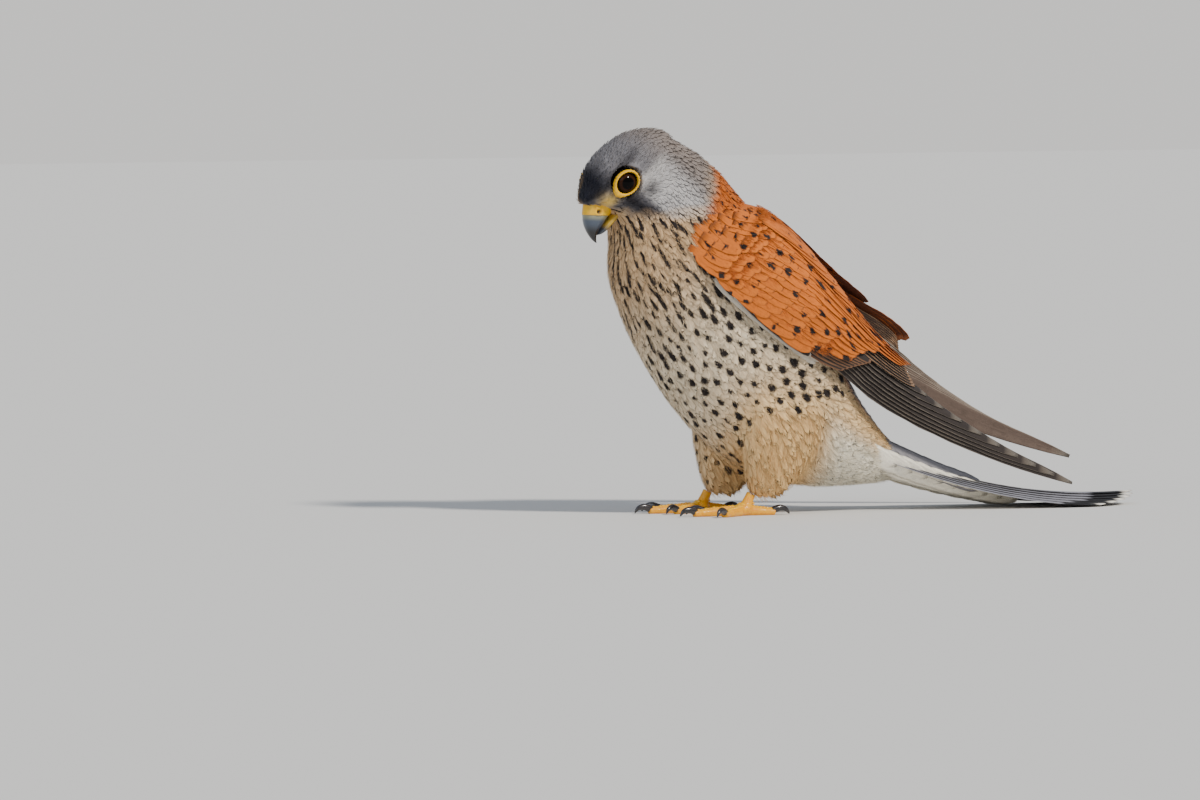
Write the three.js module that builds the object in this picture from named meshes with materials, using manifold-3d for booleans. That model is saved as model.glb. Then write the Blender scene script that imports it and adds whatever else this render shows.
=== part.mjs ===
// A common kestrel, an adult male at life size, standing on a floor with its tail laid on it.
// The bird faces -X and its left side is towards -Y. Sizes are in millimetres and +Z is up.
import * as THREE from "three";
import { mergeVertices } from "three/addons/utils/BufferGeometryUtils.js";
import Module from "manifold-3d";

const wasm = await Module();
wasm.setup();

// Driving dimensions
const GAP = 0.3; // clearance kept between neighbouring pieces
const FOOT_SPREAD = 16; // each foot's distance from the body's middle plane
const EYE_RADIUS = 6.2;
const EYE_SPREAD = 11.2; // each eyeball's centre from the head's middle plane
const HEAD_CENTRE = [-70, -2, 154];
const HEAD_PITCH = 40; // degrees, bill down
const HEAD_TURN = 8; // degrees, to the bird's left
const TOE_RADIUS = 2.3;
const TARSUS_RADIUS = 2.1;
const CLAW_LENGTH = 9;
const VANE_THICKNESS = 0.6;
const LAYER = 0.95; // height from one vane's face to the next one's
const SLIVER = 0.08; // detail smaller than this is dropped
const BODY_SIDES = 22; // points round a body section
const BODY_RINGS = 22; // sections along the body

// Body sections from the neck to the tail's root. Each is the middle of a section, then the height
// above it, the depth below it and the half width.
const BODY_SECTIONS = [
  { at: [-76, 157], above: 10, below: 5, half: 7 },
  { at: [-71, 155], above: 20, below: 10, half: 13 },
  { at: [-62, 152], above: 30.5, below: 16.5, half: 18 },
  { at: [-52, 147], above: 33.5, below: 25, half: 22.5 },
  { at: [-42, 138], above: 37, below: 32, half: 26.5 },
  { at: [-31, 121], above: 41, below: 39.5, half: 30.5 },
  { at: [-19, 105], above: 44, below: 44, half: 33 },
  { at: [-7, 90], above: 45, below: 46, half: 34 },
  { at: [6, 73], above: 43, below: 46, half: 33.5 },
  { at: [21, 55], above: 38, below: 42, half: 31 },
  { at: [39, 41], above: 28, below: 33, half: 26 },
  { at: [57, 32], above: 18, below: 23, half: 20 },
  { at: [72, 26], above: 10, below: 15, half: 14 },
  { at: [86, 22.5], above: 5, below: 8, half: 9 },
];

// Head sections from the back of the head to the bill, in the head's own frame: forward, then as above.
const HEAD_SECTIONS = [
  { at: [-38, -5], above: 6, below: 8, half: 9 },
  { at: [-31, -3], above: 10.5, below: 12, half: 14.5 },
  { at: [-22, -1], above: 13.5, below: 15.5, half: 17.5 },
  { at: [-11, 0], above: 14.8, below: 16, half: 18.5 },
  { at: [-2, 0], above: 14.2, below: 14.5, half: 17 },
  { at: [6, 0], above: 13.2, below: 12.5, half: 14 },
  { at: [11.5, 1.2], above: 11.2, below: 5.4, half: 10.4 },
  { at: [15.2, 3.2], above: 6.5, below: 3.4, half: 6.8 },
  { at: [17.4, 4.2], above: 3.4, below: 2.2, half: 4.4 },
];

// Lower and upper edges of the folded wings, from the wrist to the tip, and how far a wing swells
// outwards between them. The right wing is held a little higher than the left one.
const NEAR_WING = {
  lower: [
    [-38, -30, 121],
    [-18, -35.5, 101],
    [12, -34.5, 79],
    [32, -31, 67],
    [57, -27, 52],
    [85, -23, 39],
    [127, -19, 23],
    [170, -15, 10],
  ],
  upper: [
    [-10, -9, 146],
    [13, -9, 133],
    [34, -10, 111],
    [51, -11, 91],
    [68, -12, 74],
    [86, -13, 59],
    [128, -13, 36],
    [171, -12.5, 15],
  ],
};
const FAR_WING = {
  lower: [
    [-34, 31, 121],
    [-10, 36, 103],
    [19, 35, 86],
    [42, 31, 75],
    [65, 26, 65],
    [92, 21, 53],
    [134, 15, 35],
    [179, 9, 21],
  ],
  upper: [
    [-6, 9, 146],
    [18, 10, 132],
    [42, 12, 113],
    [63, 13, 97],
    [83, 13, 84],
    [103, 12, 70],
    [136, 10, 49],
    [180, 8, 26],
  ],
};
const WING_SWELL = [9, 12, 11, 9, 6.5, 4, 2, 0.5];

const TAIL_ROOT = [52, 31];
const TAIL_BEND = [132, -3];
const TAIL_TIP = [208, 0.6];
const TAIL_FEATHER_PAIRS = 6;

const radians = THREE.MathUtils.degToRad;
const vec = (x, y, z) => new THREE.Vector3(x, y, z);
const mix = THREE.MathUtils.lerp;

// Solids

// Makes a solid from points and triangles.
function solid(points, triangles) {
  const geometry = new THREE.BufferGeometry();
  geometry.setAttribute("position", new THREE.Float32BufferAttribute(points.flatMap((p) => [p.x, p.y, p.z]), 3));
  geometry.setIndex(triangles);
  return solidOfGeometry(geometry);
}

function solidOfGeometry(geometry) {
  const bare = new THREE.BufferGeometry().setAttribute("position", geometry.getAttribute("position"));
  bare.setIndex(geometry.index);
  const merged = mergeVertices(bare, 1e-4);
  const made = new wasm.Manifold(
    new wasm.Mesh({
      numProp: 3,
      vertProperties: new Float32Array(merged.attributes.position.array),
      triVerts: new Uint32Array(merged.index.array),
    }),
  );
  return made;
}

// Closes a row of rings, each the same number of points, into one solid with a point at each end's middle.
function skinRings(rings) {
  const count = rings[0].length;
  const points = rings.flat();
  const triangles = [];
  for (let i = 0; i + 1 < rings.length; i++)
    for (let j = 0; j < count; j++) {
      const [a, b] = [i * count + j, i * count + ((j + 1) % count)];
      triangles.push(a, b, b + count, a, b + count, a + count);
    }
  for (const [first, flip] of [[0, true], [(rings.length - 1) * count, false]]) {
    const middle = vec(0, 0, 0);
    for (let j = 0; j < count; j++) middle.addScaledVector(points[first + j], 1 / count);
    const tip = points.push(middle) - 1;
    for (let j = 0; j < count; j++) {
      const [a, b] = [first + j, first + ((j + 1) % count)];
      triangles.push(...(flip ? [b, a, tip] : [a, b, tip]));
    }
  }
  const made = solid(points, triangles);
  if (made.volume() > 0) return made;
  for (let k = 0; k < triangles.length; k += 3) [triangles[k], triangles[k + 1]] = [triangles[k + 1], triangles[k]];
  return solid(points, triangles);
}

const joined = (pieces) => pieces.reduce((all, piece) => all.add(piece));

// Keeps a solid's largest closed surface, filled.
function largest(made) {
  const bodies = made.decompose();
  return bodies.reduce((best, body) => (body.volume() > best.volume() ? body : best));
}

// A ball, or an ellipsoid with the given half sizes.
function ball(centre, radii, detail = 16) {
  const geometry = new THREE.SphereGeometry(1, detail, Math.round(detail * 0.7));
  geometry.scale(...radii);
  geometry.translate(...centre);
  return solidOfGeometry(geometry);
}

// A tube with its own radius at each point of its path, and its section's height as a share of its
// width. Its width lies level, or along sideways where that is given.
function tube(path, radii, sides, flatness = 1, sideways = null) {
  const curve = new THREE.CatmullRomCurve3(path);
  const steps = radii.length - 1;
  const rings = radii.map((radius, i) => {
    const at = curve.getPointAt(i / steps);
    const along = curve.getTangentAt(i / steps);
    const side = sideways ? sideways.clone() : vec(-along.y, along.x, 0);
    if (side.length() < 0.05) side.set(0, 1, 0);
    side.normalize();
    const up = side.clone().cross(along).normalize();
    return Array.from({ length: sides }, (_, j) => {
      const turn = (2 * Math.PI * (j + 0.5)) / sides;
      return at
        .clone()
        .addScaledVector(side, radius * Math.cos(turn))
        .addScaledVector(up, radius * flatness * Math.sin(turn));
    });
  });
  return skinRings(rings);
}

// Body

// Sections as smooth curves: the middle line, and the three sizes round it.
function sectionRings(sections, rings, sides, grow) {
  const line = new THREE.CatmullRomCurve3(sections.map(({ at }) => vec(at[0], 0, at[1])));
  const sizes = new THREE.CatmullRomCurve3(sections.map(({ above, below, half }) => vec(above, below, half)));
  return Array.from({ length: rings + 1 }, (_, i) => {
    const at = line.getPoint(i / rings);
    const along = line.getTangent(i / rings);
    const up = vec(-along.z, 0, along.x).multiplyScalar(along.x < 0 ? -1 : 1);
    const size = sizes.getPoint(i / rings);
    return Array.from({ length: sides }, (_, j) => {
      const turn = (2 * Math.PI * j) / sides;
      const height = Math.cos(turn) * ((Math.cos(turn) > 0 ? size.x : size.y) + grow);
      return at.clone().addScaledVector(up, height).add(vec(0, Math.sin(turn) * (size.z + grow), 0));
    });
  });
}

const trunkSolid = (grow) => skinRings(sectionRings(BODY_SECTIONS, BODY_RINGS, BODY_SIDES, grow));

// The head's own frame: +X forward along the bill, +Y to its left, +Z up.
const headPlace = new THREE.Matrix4()
  .makeTranslation(...HEAD_CENTRE)
  .multiply(new THREE.Matrix4().makeRotationZ(Math.PI + radians(HEAD_TURN)))
  .multiply(new THREE.Matrix4().makeRotationY(radians(HEAD_PITCH)));
const inHead = (x, y, z) => vec(x, y, z).applyMatrix4(headPlace);
const headLeft = vec(0, 1, 0).transformDirection(headPlace);

function headSolid(grow) {
  const rings = sectionRings(HEAD_SECTIONS, 12, 18, grow);
  return skinRings(rings.map((ring) => ring.map((p) => p.applyMatrix4(headPlace))));
}

// Eyes look outwards and a little forwards.
const EYE_FORWARD = radians(16);
const eyeCentre = (side) => inHead(-2, side * EYE_SPREAD, 0.6);
function eyeAxis(side) {
  const axis = vec(Math.sin(EYE_FORWARD), side * Math.cos(EYE_FORWARD), 0.05);
  return axis.transformDirection(headPlace);
}

function eyeSolid(side, grow = 0) {
  const radius = EYE_RADIUS + grow;
  return ball(eyeCentre(side).toArray(), [radius, radius, radius], 18);
}

// The bare ring of skin round an eye: a lathed band that sits on the eyeball's edge.
const RING_OPENING = 4.8; // radius of the eye that shows
const RING_WIDTH = 1.7;
function eyeRing(side) {
  const profile = [
    [RING_OPENING, 4.9],
    [RING_OPENING + 0.4, 5.5],
    [RING_OPENING + 1.1, 5.4],
    [RING_OPENING + RING_WIDTH, 4.4],
    [RING_OPENING + 1.5, 2.4],
    [RING_OPENING + 0.7, 2.4],
    [RING_OPENING, 4.9],
  ].map(([radius, height]) => new THREE.Vector2(radius, height));
  const geometry = new THREE.LatheGeometry(profile, 16);
  geometry.applyQuaternion(new THREE.Quaternion().setFromUnitVectors(vec(0, 1, 0), eyeAxis(side)));
  geometry.translate(...eyeCentre(side).toArray());
  const made = solidOfGeometry(geometry);
  return (made.volume() > 0 ? made : solidOfGeometry(flipped(geometry))).subtract(eyeSolid(side, GAP));
}

function flipped(geometry) {
  const index = geometry.index.array;
  for (let k = 0; k < index.length; k += 3) [index[k], index[k + 1]] = [index[k + 1], index[k]];
  return geometry;
}

// Bill

const BILL_LINE = [[10, -3.5], [15, -5.6], [18.6, -8.8], [20.6, -12.2], [22.1, -16.2]];
const BILL_UPPER_RADII = [6, 5.7, 5.3, 4.9, 4.55, 4.1, 3.6, 2.9, 2.2, 1.3, 0.4];
const HOOK_START = 19.4; // how far forward of the head's centre the hook leaves the mouth's line
const NOSTRIL = [14.5, 4.9, -3.9]; // forward, out and up from the head's centre

// Planes in the head's frame: a point on each, and the way it faces.
const MOUTH = { at: [9.5, 0, -10.4], normal: [0.236, 0, 0.972] };
const CERE_EDGE = { at: [19, 0, -2], normal: [0.67, 0, -0.742] };

function billUpper() {
  const path = BILL_LINE.map(([x, z]) => inHead(x, 0, z));
  return tube(path, BILL_UPPER_RADII, 14, 1.15, headLeft);
}

// A block in the head's frame, used to cut.
function headBlock([x0, x1], [y0, y1], [z0, z1]) {
  const geometry = new THREE.BoxGeometry(x1 - x0, y1 - y0, z1 - z0);
  geometry.translate((x0 + x1) / 2, (y0 + y1) / 2, (z0 + z1) / 2);
  geometry.applyMatrix4(headPlace);
  return solidOfGeometry(geometry);
}

const nostril = (side) =>
  ball(inHead(NOSTRIL[0], side * NOSTRIL[1], NOSTRIL[2]).toArray(), [1.1, 1.1, 1.1], 8);

// Keeps what lies on a plane's facing side, at least half a gap away, or on its other side.
function trimmed(made, { at, normal }, side) {
  const facing = vec(...normal).transformDirection(headPlace).multiplyScalar(side);
  return made.trimByPlane(facing.toArray(), facing.dot(inHead(...at)) + GAP / 2);
}

function billParts(room) {
  const upper = billUpper();
  const hook = headBlock([HOOK_START, 40], [-20, 20], [-30, 0]);
  const top = trimmed(upper, MOUTH, 1).add(upper.intersect(hook)).subtract(room);
  const cere = largest(trimmed(top, CERE_EDGE, -1).subtract(nostril(1)).subtract(nostril(-1)));
  const horn = largest(trimmed(top, CERE_EDGE, 1));
  const lowerPath = [[8, -11.2], [13, -12.4], [17, -13.2], [18.6, -13.5]].map(([x, z]) => inHead(x, 0, z));
  const lower = tube(lowerPath, [4.8, 4.3, 3.5, 2.5, 1.2], 12, 0.62, headLeft).subtract(upper.intersect(hook));
  return { cere, horn, lower: largest(trimmed(lower, MOUTH, -1).subtract(room)) };
}

// Legs and feet

// Toes from the ball of the foot: forward angle in degrees from straight ahead, outwards positive,
// and the toe's length.
const TOES = {
  hallux: { turn: 172, length: 15 },
  inner: { turn: -26, length: 20 },
  middle: { turn: 2, length: 27 },
  outer: { turn: 36, length: 21 },
};
const BALL_HEIGHT = 3;
const feet = {
  left: { side: -1, ball: [-6, -FOOT_SPREAD], knee: [7, -FOOT_SPREAD - 0.5, 30] },
  right: { side: 1, ball: [-12, FOOT_SPREAD], knee: [1, FOOT_SPREAD + 0.5, 30] },
};

function toeDirection(side, turn) {
  const angle = radians(turn);
  return vec(-Math.cos(angle), side * Math.sin(angle), 0);
}

// A toe, thicker at its joints, with a step on its back for each scute.
function toeSolid(foot, { turn, length }) {
  const start = vec(foot.ball[0], foot.ball[1], TOE_RADIUS);
  const along = toeDirection(foot.side, turn);
  const end = start.clone().addScaledVector(along, length);
  end.z = TOE_RADIUS * 0.62;
  const middle = start.clone().lerp(end, 0.5);
  const scutes = Math.round(length / 4.4);
  const radii = Array.from({ length: 2 * scutes + 1 }, (_, i) => {
    const share = i / (2 * scutes);
    const joint = 0.16 * Math.cos(share * 3 * Math.PI) ** 2;
    return TOE_RADIUS * (1.16 - 0.42 * share + joint + (i % 2 ? 0.07 : -0.05));
  });
  return tube([start, middle, end], radii, 8, 0.95);
}

function footSolid(foot, thigh) {
  const ballAt = vec(foot.ball[0], foot.ball[1], BALL_HEIGHT);
  const tarsus = tube(
    [ballAt, ballAt.clone().lerp(vec(...foot.knee), 0.5), vec(...foot.knee)],
    [3, 2.3, 2.2, 2.1, 2.2, 2.4].map((r) => (r * TARSUS_RADIUS) / 2.1),
    10,
  );
  const palm = ball(ballAt.toArray(), [4, 4, 3.4], 10);
  const toes = Object.values(TOES).map((toe) => toeSolid(foot, toe));
  return joined([tarsus, palm, ...toes])
    .subtract(thigh)
    .trimByPlane([0, 0, 1], 0);
}

// A claw that curves down from its toe's end to the floor.
function clawSolid(foot, { turn, length }, foothold) {
  const along = toeDirection(foot.side, turn);
  const start = vec(foot.ball[0], foot.ball[1], 0).addScaledVector(along, length - 0.6);
  const place = (forward, height) => start.clone().addScaledVector(along, forward).setZ(height);
  const reach = CLAW_LENGTH;
  const path = [
    place(-0.6, 2.2),
    place(reach * 0.33, 3.3),
    place(reach * 0.66, 2.7),
    place(reach * 0.86, 0.6),
  ];
  return largest(tube(path, [1.5, 1.45, 1.2, 0.85, 0.35], 6, 1.1).subtract(foothold).trimByPlane([0, 0, 1], 0));
}

function thighSolid(foot, grow) {
  const { side, ball: at } = foot;
  const sections = [
    { at: [at[0] + 20, 66], radii: [17, 10] },
    { at: [at[0] + 20, 50], radii: [24, 15] },
    { at: [at[0] + 18, 32], radii: [21, 14] },
    { at: [at[0] + 14, 18], radii: [14.5, 10.5] },
    { at: [at[0] + 10, 9.5], radii: [7.5, 6.5] },
  ];
  const line = new THREE.CatmullRomCurve3(sections.map(({ at: p }) => vec(p[0], 0, p[1])));
  const sizes = new THREE.CatmullRomCurve3(sections.map(({ radii }) => vec(radii[0], radii[1], 0)));
  const rings = Array.from({ length: 9 }, (_, i) => {
    const [middle, size] = [line.getPoint(i / 8), sizes.getPoint(i / 8)];
    const out = side * mix(20.5, FOOT_SPREAD, i / 8);
    return Array.from({ length: 16 }, (_, j) => {
      const turn = (2 * Math.PI * j) / 16;
      return vec(middle.x + (size.x + grow) * Math.cos(turn), out + (size.y + grow) * Math.sin(turn), middle.z);
    });
  });
  return skinRings(rings);
}

// Wings

// A folded wing's outer face: u runs from the wrist to the tip, v from the lower to the upper edge.
const swellLine = new THREE.CatmullRomCurve3(WING_SWELL.map((s, i) => vec(s, i, 0)));

function wingFace({ lower, upper }) {
  const side = Math.sign(lower[0][1]);
  const lowerEdge = new THREE.CatmullRomCurve3(lower.map((p) => vec(...p)));
  const upperEdge = new THREE.CatmullRomCurve3(upper.map((p) => vec(...p)));
  const outwards = (a, b) => {
    const out = a.clone().cross(b).normalize();
    return out.y * side < 0 ? out.negate() : out;
  };
  const point = (u, v) => {
    const held = THREE.MathUtils.clamp(u, 0, 1);
    const low = lowerEdge.getPoint(held);
    const across = upperEdge.getPoint(held).sub(low);
    const out = outwards(upperEdge.getTangent(held).add(lowerEdge.getTangent(held)), across);
    const swell = swellLine.getPoint(held).x * 4 * v * (1 - v);
    return low.addScaledVector(across, v).addScaledVector(out, swell);
  };
  // Directions on the face at (u, v): along it, across it towards the upper edge, and out from it.
  const frame = (u, v) => {
    const step = 0.01;
    const along = point(u + step, v)
      .sub(point(u - step, v))
      .normalize();
    const across = point(u, v + step).sub(point(u, v - step));
    across.addScaledVector(along, -across.dot(along)).normalize();
    return { along, across, out: outwards(along, across) };
  };
  return { point, frame };
}

// A feather's half width along its length, as a share of its widest.
function vaneShape(share, point) {
  const swell = Math.min(1, 0.45 + 1.3 * share);
  const round = Math.sqrt(Math.max(0, 1 - ((share - 0.55) / 0.47) ** 2));
  const tip = share > 0.55 ? mix(round, 1 - ((share - 0.55) / 0.45) ** 2, point) : 1;
  return Math.max(0.16, swell * tip);
}

// One vane: a thin closed plate along a curve, split alike on both faces. frameAt(share) gives its
// middle, its across and out directions and its lift; tilt raises one edge.
function vaneSolid({ frameAt, width, tilt = 0, steps = 5, point = 0.3, camber = 0.25, crown = 2 }) {
  const [top, bottom] = [[], []];
  for (let i = 0; i <= steps; i++) {
    const share = i / steps;
    const { at, across, out, lift } = frameAt(share);
    const half = (width / 2) * vaneShape(share, point);
    for (let c = 0; c <= crown; c++) {
      const side = (2 * c) / crown - 1;
      const height = lift - tilt * side * half + camber * (1 - side * side);
      const p = at.clone().addScaledVector(across, side * half).addScaledVector(out, height);
      top.push(p);
      bottom.push(p.clone().addScaledVector(out, -VANE_THICKNESS));
    }
  }
  const row = crown + 1;
  const under = top.length;
  const triangles = [];
  const quad = (a, b, c, d) => triangles.push(a, b, c, a, c, d);
  for (let i = 0; i < steps; i++)
    for (let c = 0; c < crown; c++) {
      const a = i * row + c;
      quad(a, a + 1, a + row + 1, a + row);
      triangles.push(under + a, under + a + row + 1, under + a + 1);
      triangles.push(under + a, under + a + row, under + a + row + 1);
    }
  for (let i = 0; i < steps; i++) {
    const [l, r] = [i * row, i * row + crown];
    quad(l, l + row, under + l + row, under + l);
    quad(r, under + r, under + r + row, r + row);
  }
  for (let c = 0; c < crown; c++) {
    const [a, b] = [c, steps * row + c];
    quad(a, under + a, under + a + 1, a + 1);
    quad(b, b + 1, under + b + 1, under + b);
  }
  const points = [...top, ...bottom];
  const made = solid(points, triangles);
  if (made.volume() > 0) return made;
  for (let k = 0; k < triangles.length; k += 3) [triangles[k], triangles[k + 1]] = [triangles[k + 1], triangles[k]];
  return solid(points, triangles);
}

// A wing feather from (u0, v0) to (u1, v1), lifted from lift0 at its root to lift1 at its tip.
function wingVane(face, { from, to, width, lift, tilt, steps, point = 0.3, crown = 1 }) {
  const frameAt = (share) => {
    const [u, v] = [mix(from[0], to[0], share), mix(from[1], to[1], share)];
    return { at: face.point(u, v), ...face.frame(u, v), lift: mix(lift[0], lift[1], share) };
  };
  return vaneSolid({ frameAt, width, tilt, steps, point, crown });
}

// A row of feathers, evenly spaced from one (root, tip) pair to another.
function featherRow(face, count, first, last, more) {
  return Array.from({ length: count }, (_, i) => {
    const share = count > 1 ? i / (count - 1) : 0;
    const between = (a, b) => a.map((value, k) => mix(value, b[k], share));
    return wingVane(face, {
      ...more,
      from: between(first.from, last.from),
      to: between(first.to, last.to),
      width: mix(first.width, last.width, share),
      lift: between(first.lift, last.lift),
    });
  });
}

// Feather tiers of a wing, inner layers first. Each tier is given by its first and last feather.
const WING_TIERS = {
  primaries: {
    count: 5,
    first: { from: [0.31, 0.12], to: [0.995, 0.35], width: 15, lift: [-3, -2.4] },
    last: { from: [0.31, 0.5], to: [0.74, 0.68], width: 16, lift: [-2.2, 0.8] },
    more: { steps: 5, tilt: 0.1 },
  },
  secondaries: {
    count: 3,
    first: { from: [0.28, 0.5], to: [0.67, 0.72], width: 17, lift: [-1.4, 1.7] },
    last: { from: [0.28, 0.74], to: [0.65, 0.84], width: 17, lift: [-1, 3.3] },
    more: { steps: 4, tilt: 0.1 },
  },
  tertials: {
    count: 3,
    first: { from: [0.26, 0.62], to: [0.62, 0.8], width: 18, lift: [0, 4.1] },
    last: { from: [0.26, 0.88], to: [0.665, 0.93], width: 17, lift: [0.4, 5.7] },
    more: { steps: 4, tilt: 0.1 },
  },
  primaryCoverts: {
    count: 2,
    first: { from: [0.2, 0.1], to: [0.47, 0.12], width: 14, lift: [-1.5, 0.2] },
    last: { from: [0.2, 0.28], to: [0.5, 0.34], width: 15, lift: [-1, 1.2] },
    more: { steps: 3, tilt: 0.1 },
  },
  greaterCoverts: {
    count: 4,
    first: { from: [0.17, 0.24], to: [0.47, 0.22], width: 18, lift: [-0.8, 2.4] },
    last: { from: [0.17, 0.8], to: [0.54, 0.82], width: 19, lift: [0, 5.2] },
    more: { steps: 3, tilt: 0.1 },
  },
  medianCoverts: {
    count: 4,
    first: { from: [0.07, 0.14], to: [0.27, 0.12], width: 17, lift: [-0.6, 2.4] },
    last: { from: [0.08, 0.76], to: [0.34, 0.8], width: 19, lift: [0, 5] },
    more: { steps: 3, tilt: 0.1 },
  },
  scapulars: {
    count: 2,
    first: { from: [0.06, 0.68], to: [0.27, 0.8], width: 19, lift: [0, 6] },
    last: { from: [0.2, 0.9], to: [0.48, 0.9], width: 17, lift: [0.4, 7] },
    more: { steps: 3, tilt: 0.1 },
  },
};

const wingFeathers = (face) =>
  Object.values(WING_TIERS).flatMap(({ count, first, last = first, more }) =>
    featherRow(face, count, first, last, more),
  );

// The arm under the coverts: a thick plate between the wing's face and the body.
const ARM_END = 0.36; // share of the wing's length
const ARM_DEPTH = 9;
function armSolid(face) {
  const [lengthSteps, acrossSteps] = [7, 7];
  const rings = Array.from({ length: lengthSteps + 1 }, (_, i) => {
    const u = mix(-0.002, ARM_END, i / lengthSteps);
    const taper = Math.sqrt(1 - (i / lengthSteps) ** 3) * (i === 0 ? 0.2 : 1);
    const outer = [];
    const inner = [];
    for (let j = 0; j <= acrossSteps; j++) {
      const v = mix(0.03, 0.95, j / acrossSteps);
      const { out } = face.frame(Math.max(u, 0.011), v);
      const rim = 0.35 + 0.65 * Math.sqrt(Math.max(0, 1 - (2 * (j / acrossSteps) - 1) ** 4));
      outer.push(face.point(u, v).addScaledVector(out, 0.9 * taper * rim));
      inner.unshift(face.point(u, v).addScaledVector(out, -0.8 - ARM_DEPTH * taper * rim));
    }
    return [...outer, ...inner];
  });
  return skinRings(rings);
}

function wingSolid(edges, body) {
  const face = wingFace(edges);
  return largest(joined([armSolid(face), ...wingFeathers(face)]).subtract(body));
}

// Tail

const tailLine = new THREE.QuadraticBezierCurve3(
  vec(TAIL_ROOT[0], 0, TAIL_ROOT[1]),
  vec(TAIL_BEND[0], 0, TAIL_BEND[1]),
  vec(TAIL_TIP[0], 0, TAIL_TIP[1]),
);
const TAIL_FAN = 1.25; // degrees between one pair of tail feathers and the next
const TAIL_FEATHER_WIDTH = 17;
const TAIL_STEP_SHORTER = 0.024; // each outer pair is shorter by this share
const TAIL_ARCH = 0.22; // sideways slope of the outermost feathers

function tailVane(pair, side) {
  const rank = pair + (side > 0 ? 0.5 : 0);
  const fan = side * radians(TAIL_FAN * (pair + 0.25));
  const lengthShare = 1 - TAIL_STEP_SHORTER * pair * (0.4 + 0.2 * pair);
  const frameAt = (share) => {
    const t = share * lengthShare;
    const at = tailLine.getPoint(t);
    const along = tailLine.getTangent(t);
    const run = at.x - TAIL_ROOT[0];
    const sideways = run * Math.tan(fan) + side * 1.2 * pair;
    const slope = Math.atan(TAIL_ARCH * (pair / TAIL_FEATHER_PAIRS));
    const up = vec(-along.z, 0, along.x);
    const across = vec(0, Math.cos(slope), 0).addScaledVector(up, -side * Math.sin(slope));
    const out = up.clone().multiplyScalar(Math.cos(slope)).add(vec(0, side * Math.sin(slope), 0));
    const settle = mix(0.75, 1, share);
    return { at: at.setY(sideways), across, out, lift: LAYER * settle * (TAIL_FEATHER_PAIRS - rank) * 0.92 };
  };
  return vaneSolid({ frameAt, width: TAIL_FEATHER_WIDTH, steps: 5, point: 0.25, crown: 1 });
}

function tailSolid(body) {
  const feathers = [];
  for (let pair = 0; pair < TAIL_FEATHER_PAIRS; pair++) feathers.push(tailVane(pair, -1), tailVane(pair, 1));
  const covertRings = Array.from({ length: 9 }, (_, i) => {
    const share = i / 8;
    const at = tailLine.getPoint(0.06 + 0.42 * share);
    const along = tailLine.getTangent(0.06 + 0.42 * share);
    const up = vec(-along.z, 0, along.x);
    const fade = Math.sqrt(1 - share ** 1.6 * 0.97);
    return Array.from({ length: 16 }, (_, j) => {
      const turn = (2 * Math.PI * j) / 16;
      const height = Math.sin(turn) * (Math.sin(turn) > 0 ? 6 : 8.5) * fade + 3 * fade;
      return at.clone().addScaledVector(up, height).add(vec(0, 14 * fade * Math.cos(turn), 0));
    });
  });
  return largest(joined([skinRings(covertRings), ...feathers]).subtract(body).trimByPlane([0, 0, 1], 0));
}

// Materials

const paint = (color, roughness = 0.8) => new THREE.MeshStandardMaterial({ color, roughness, metalness: 0 });
const materials = {
  head: paint(0x8f8e92),
  neck: paint(0xc9a684),
  torso: paint(0xd8c5a4),
  thigh: paint(0xe2c08c),
  wing: paint(0xb8632f),
  tail: paint(0x9b9ca2),
  skin: paint(0xf2b21a, 0.5),
  horn: paint(0x26282c, 0.35),
  eye: paint(0x120c08, 0.05),
};

// Turns a solid into a named mesh, without the slivers that cutting leaves.
function meshOf(name, made, material) {
  const { numProp, vertProperties, triVerts } = largest(made.simplify(SLIVER)).getMesh();
  const positions = new Float32Array((vertProperties.length / numProp) * 3);
  for (let i = 0; i * numProp < vertProperties.length; i++)
    positions.set(vertProperties.subarray(i * numProp, i * numProp + 3), i * 3);
  const geometry = new THREE.BufferGeometry();
  geometry.setAttribute("position", new THREE.BufferAttribute(positions, 3));
  geometry.setIndex(new THREE.BufferAttribute(new Uint32Array(triVerts), 1));
  geometry.computeVertexNormals();
  const mesh = new THREE.Mesh(geometry, material);
  mesh.name = name;
  return mesh;
}

// Whole bird

const kestrel = new THREE.Group();
const add = (name, made, material) => kestrel.add(meshOf(name, made, material));

// Head, neck and torso are one form, parted by two thin cuts.
const NECK_CUT = { normal: [-0.62, 0, 0.784], at: [-37, 0, 131] };
const HEAD_CUT = { normal: [-0.8, 0, 0.6], at: [-53, 0, 147] };
const planeOffset = ({ normal, at }) => normal.reduce((sum, n, i) => sum + n * at[i], 0);
const beyond = (made, cut, gap) => made.trimByPlane(cut.normal, planeOffset(cut) + gap / 2);
const before = (made, cut, gap) =>
  made.trimByPlane(
    cut.normal.map((n) => -n),
    -planeOffset(cut) + gap / 2,
  );

const flesh = trunkSolid(0).add(headSolid(0));
const fleshGrown = trunkSolid(GAP).add(headSolid(GAP));

const bill = billParts(fleshGrown);
const eyeAndRing = (side) => eyeSolid(side, GAP).add(largest(eyeRing(side).add(eyeSolid(side, GAP + 0.02))));
let head = beyond(flesh, HEAD_CUT, GAP);
for (const side of [1, -1]) {
  const ring = largest(eyeRing(side).subtract(headSolid(-2.2)));
  add(side > 0 ? "eye_left" : "eye_right", eyeSolid(side).subtract(headSolid(-5.5)), materials.eye);
  add(side > 0 ? "eye_ring_left" : "eye_ring_right", ring, materials.skin);
  head = head.subtract(eyeAndRing(side));
}
head = largest(head.subtract(ringClearance(1)).subtract(ringClearance(-1)));

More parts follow.
